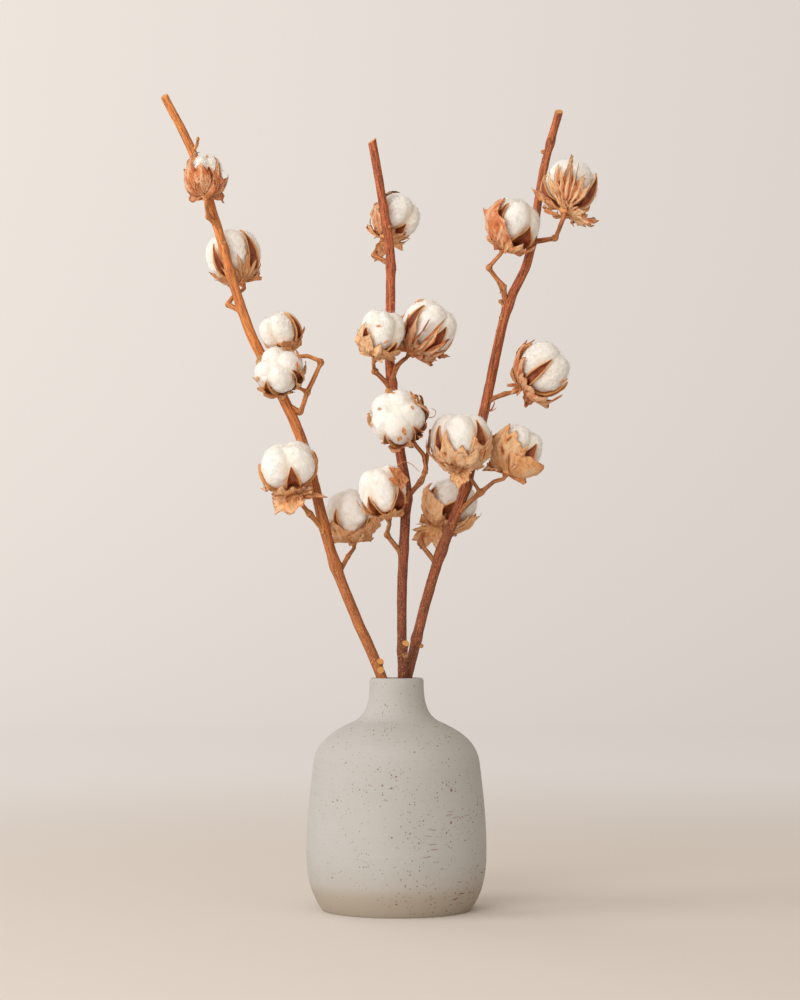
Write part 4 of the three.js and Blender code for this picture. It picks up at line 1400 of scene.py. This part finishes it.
# Each valve: how far up the boll its tip comes in radians, its half width as a share of the boll's radius,
# and how far its tip stands off in millimetres. "all" stands for the valves that aren't numbered.
VALVES = {
    "L1": {"all": (1.6, 0.3, 0.5)},
    "L2": {"all": (2.0, 0.2, 1.0), 0: (2.35, 0.2, 1.0), 3: (2.1, 0.2, 1.6)},
    "L3": {"all": (1.6, 0.2, 0.3), 0: (2.5, 0.22, 1.0), 3: (1.0, 0.2, 0.4)},
    "L4": {"all": (2.3, 0.2, 2.0)},
    "L5": {"all": (1.9, 0.2, 1.2), 0: (1.8, 0.19, 0.8)},
    "L6": {"all": (1.8, 0.2, 1.2), 0: (1.9, 0.10, 0.8), 1: (1.4, 0.18, 0.8)},
    "M1": {"all": (1.8, 0.22, 1.6), 0: (1.2, 0.2, 0.8)},
    "M2": {"all": (1.9, 0.22, 0.8), 0: (1.7, 0.26, 1.4), 1: (1.4, 0.16, 0.8)},
    "M3": {"all": (1.9, 0.22, 1.2), 0: (2.0, 0.24, 1.2), 2: (2.6, 0.15, 0.8), 4: (2.1, 0.17, 1.0)},
    "M4": {"all": (2.2, 0.17, 2.0)},
    "M5": {"all": (1.6, 0.3, 1.2), 0: (1.75, 0.34, 1.2), 3: (1.5, 0.22, 1.4)},
    "R1": {"all": (1.8, 0.22, 1.4), 0: (2.1, 0.2, 2.2)},
    "R2": {"all": (1.8, 0.42, 1.2), 3: (2.3, 0.27, 1.0)},
    "R3": {"all": (1.9, 0.22, 1.8), 0: (2.0, 0.13, 1.8)},
    "R4": {"all": (2.1, 0.19, 1.2), 0: (2.3, 0.27, 2.2), 3: (2.2, 0.13, 1.0)},
    "R5": {"all": (1.9, 0.25, 1.6)},
    "R6": {"all": (1.8, 0.28, 1.4), 0: (1.75, 0.42, 1.4)},
}
# Chips of leaf and valve tips stuck in the cotton, as add_scrap takes them.
SCRAPS = {
    "L1": [(20, 150, 4, 1.6, 20)],
    "L4": [(95, 118, 8, 3.0, 80, 2.5), (60, 122, 7, 2.6, 50, 2.0), (-80, 115, 8, 2.6, 10, 2.0)],
    "L5": [(130, 140, 5, 1.6, 10)],
    "M2": [(-10, 110, 4, 1.2, 70), (20, 75, 4, 1.4, 40)],
    "M3": [(-70, 124, 8, 3.0, 20, 1.0)],
    "M4": [(-95, 118, 6, 3.0, 60, 2.5), (-125, 150, 3.5, 1.8, 10), (150, 145, 4, 1.8, 40),
           (60, 140, 3.5, 2.2, 20),
           (100, 122, 9, 3.6, 85, 3.0), (80, 128, 7, 3.0, 60, 2.5), (-5, 125, 8, 3.2, 5, 2.5),
           (-20, 112, 7, 3.0, 30, 2.0)],
    "M5": [(52, 122, 18, 12.0, -15, 5.0), (62, 108, 14, 10.0, 25, 3.5), (40, 112, 11, 7.0, -45, 2.5)],
    "R1": [(75, 100, 5, 1.6, 40)],
    "R3": [(60, 105, 6, 1.8, 20, 2.0), (95, 115, 5, 1.8, 60, 2.0)],
}
# Thin dry threads, as points in the part's frame.
HAIRS = {
    "M5": [[(0, -38, 330), (5, -37, 333.5), (11, -34, 332), (17, -31, 326.5)]],
    "M4": [[(24, -40, 366), (28, -41, 367), (29, -40, 371), (26, -39, 373)]],
}


def bolls():
    cotton, burr, papery = cotton_finish(), burr_finish(), bract_finish()
    sphere = ball()
    for key, boll in BOLLS.items():
        node = "boll_" + key
        make_piece("cotton_" + key, cotton_shape(boll, *sphere), [cotton], node + "_cotton")
        make_piece("burr_" + key, burr_shape(boll, VALVES[key]), [burr], node + "_burr")
        bracts = bracts_shape(boll, LEAVES[key], SCRAPS.get(key, ()), HAIRS.get(key, ()))
        make_piece("bracts_" + key, bracts, [papery], node + "_bracts")


# ---- Studio ----

# In metres.
FLOOR_MIDDLE = ((0.001, 0.0), (0.12, 0.0), (0.35, 0.0))
FAR_RINGS = (0.35, 0.8, 1.6, 2.4)
FLOOR_RADIUS = 3.2
COVE_RADIUS = 1.6
COVE_STEPS = 16
WALL_HEIGHT = 5.0
STAGE_SIDES = 96
GLOW = (1.0, 0.92, 0.855, 1.0)
LIT_POINT = (0, 0, 0.3)
# Each lamp: its place, its width, its power in watts and its colour.
LAMPS = {
    "key": ((-2.2, -0.6, 1.2), 1.6, 19, (1.0, 1.0, 1.0)),
    "front": ((-1.0, -2.2, 0.9), 1.8, 33, (1.0, 0.97, 0.93)),
    "fill": ((1.9, -1.7, 0.9), 1.8, 0.6, (1.0, 0.84, 0.68)),
    "back": ((-1.2, 1.7, 1.3), 1.2, 5.5, (1.0, 0.95, 0.9)),
}
SKY_COLOUR = (1.0, 0.88, 0.76, 1.0)
SKY_STRENGTH = 0.58
CAMERA_PLACE = (0.0026, -1.783, 0.2186)
CAMERA_PITCH = 2.84
FOCAL_LENGTH = 85
CLIP_END = 50


def stage():
    """A round floor that curves up into a wall, so that every view has the same plain background.
    Only the floor near the vase throws light back at it."""
    finish = backdrop_finish()
    cove = arc((FLOOR_RADIUS, COVE_RADIUS), COVE_RADIUS, -90, 0, COVE_STEPS)
    wall_top = (FLOOR_RADIUS + COVE_RADIUS, WALL_HEIGHT)
    stage_part("floor", np.array(FLOOR_MIDDLE), finish)
    backdrop = stage_part("backdrop", np.vstack([[(r, 0.0) for r in FAR_RINGS], cove, wall_top]), finish)
    backdrop.visible_diffuse = False
    backdrop.visible_shadow = False


def stage_part(name, profile, finish):
    grid = lathe(profile, STAGE_SIDES)
    quads = grid_faces(len(profile), STAGE_SIDES, closed=True)[:, ::-1]
    mesh = bpy.data.meshes.new(name)
    mesh.from_pydata(grid.reshape(-1, 3).tolist(), [], quads.tolist())
    mesh.polygons.foreach_set("use_smooth", np.ones(len(mesh.polygons), dtype=bool))
    mesh.materials.append(finish)
    part = new_object(name, mesh)
    return part


def backdrop_finish():
    """Near the vase a pale floor that takes light and shadow, and farther off a glow that the lamps don't
    mark, with painted light that makes it brighter higher up and to the left."""
    f = Finish("backdrop", Roughness=0.95, Specular_IOR_Level=0.05)
    places = f.places()
    away = f.add("VectorMath", {0: places}, 1, operation="LENGTH")
    far = f.ramp(away, 0.3, 1.7)
    f.set("Base Color", f.mix(far, rgb(224, 219, 214), rgb(74, 72, 70)))
    # Painted light: the glow grows brighter farther off and up the wall, and brighter to the left.
    wall = f.ramp(away, 2.6, 5.4, 0.63, 0.745)
    side = f.ramp(f.part(places, 0), 3.0, -3.0, -0.12, 0.12)
    f.set("Emission Color", GLOW)
    f.set("Emission Strength", f.times(f.plus(wall, side), far))
    return f.material


def area_light(name, place, size, power, colour):
    data = bpy.data.lights.new(name, "AREA")
    data.shape = "DISK"
    data.size = size
    data.energy = power
    data.color = colour
    lamp = new_object(name, data)
    lamp.location = place
    lamp.rotation_euler = (Vector(LIT_POINT) - Vector(place)).to_track_quat("-Z", "Y").to_euler()
    lamp.visible_camera = False


def lights():
    for name, values in LAMPS.items():
        area_light(name, *values)
    world = bpy.data.worlds.new("studio")
    bpy.context.scene.world = world
    world.use_nodes = True
    sky = world.node_tree.nodes["Background"]
    sky.inputs["Color"].default_value = SKY_COLOUR
    sky.inputs["Strength"].default_value = SKY_STRENGTH


def camera():
    data = bpy.data.cameras.new("camera")
    data.lens = FOCAL_LENGTH
    data.clip_end = CLIP_END
    eye = new_object("camera", data)
    eye.location = CAMERA_PLACE
    eye.rotation_euler = (math.radians(90 + CAMERA_PITCH), 0, 0)
    bpy.context.scene.camera = eye
    bpy.context.scene.view_settings.view_transform = "Standard"


camera()
stage()
lights()
vase()
stems()
bolls()
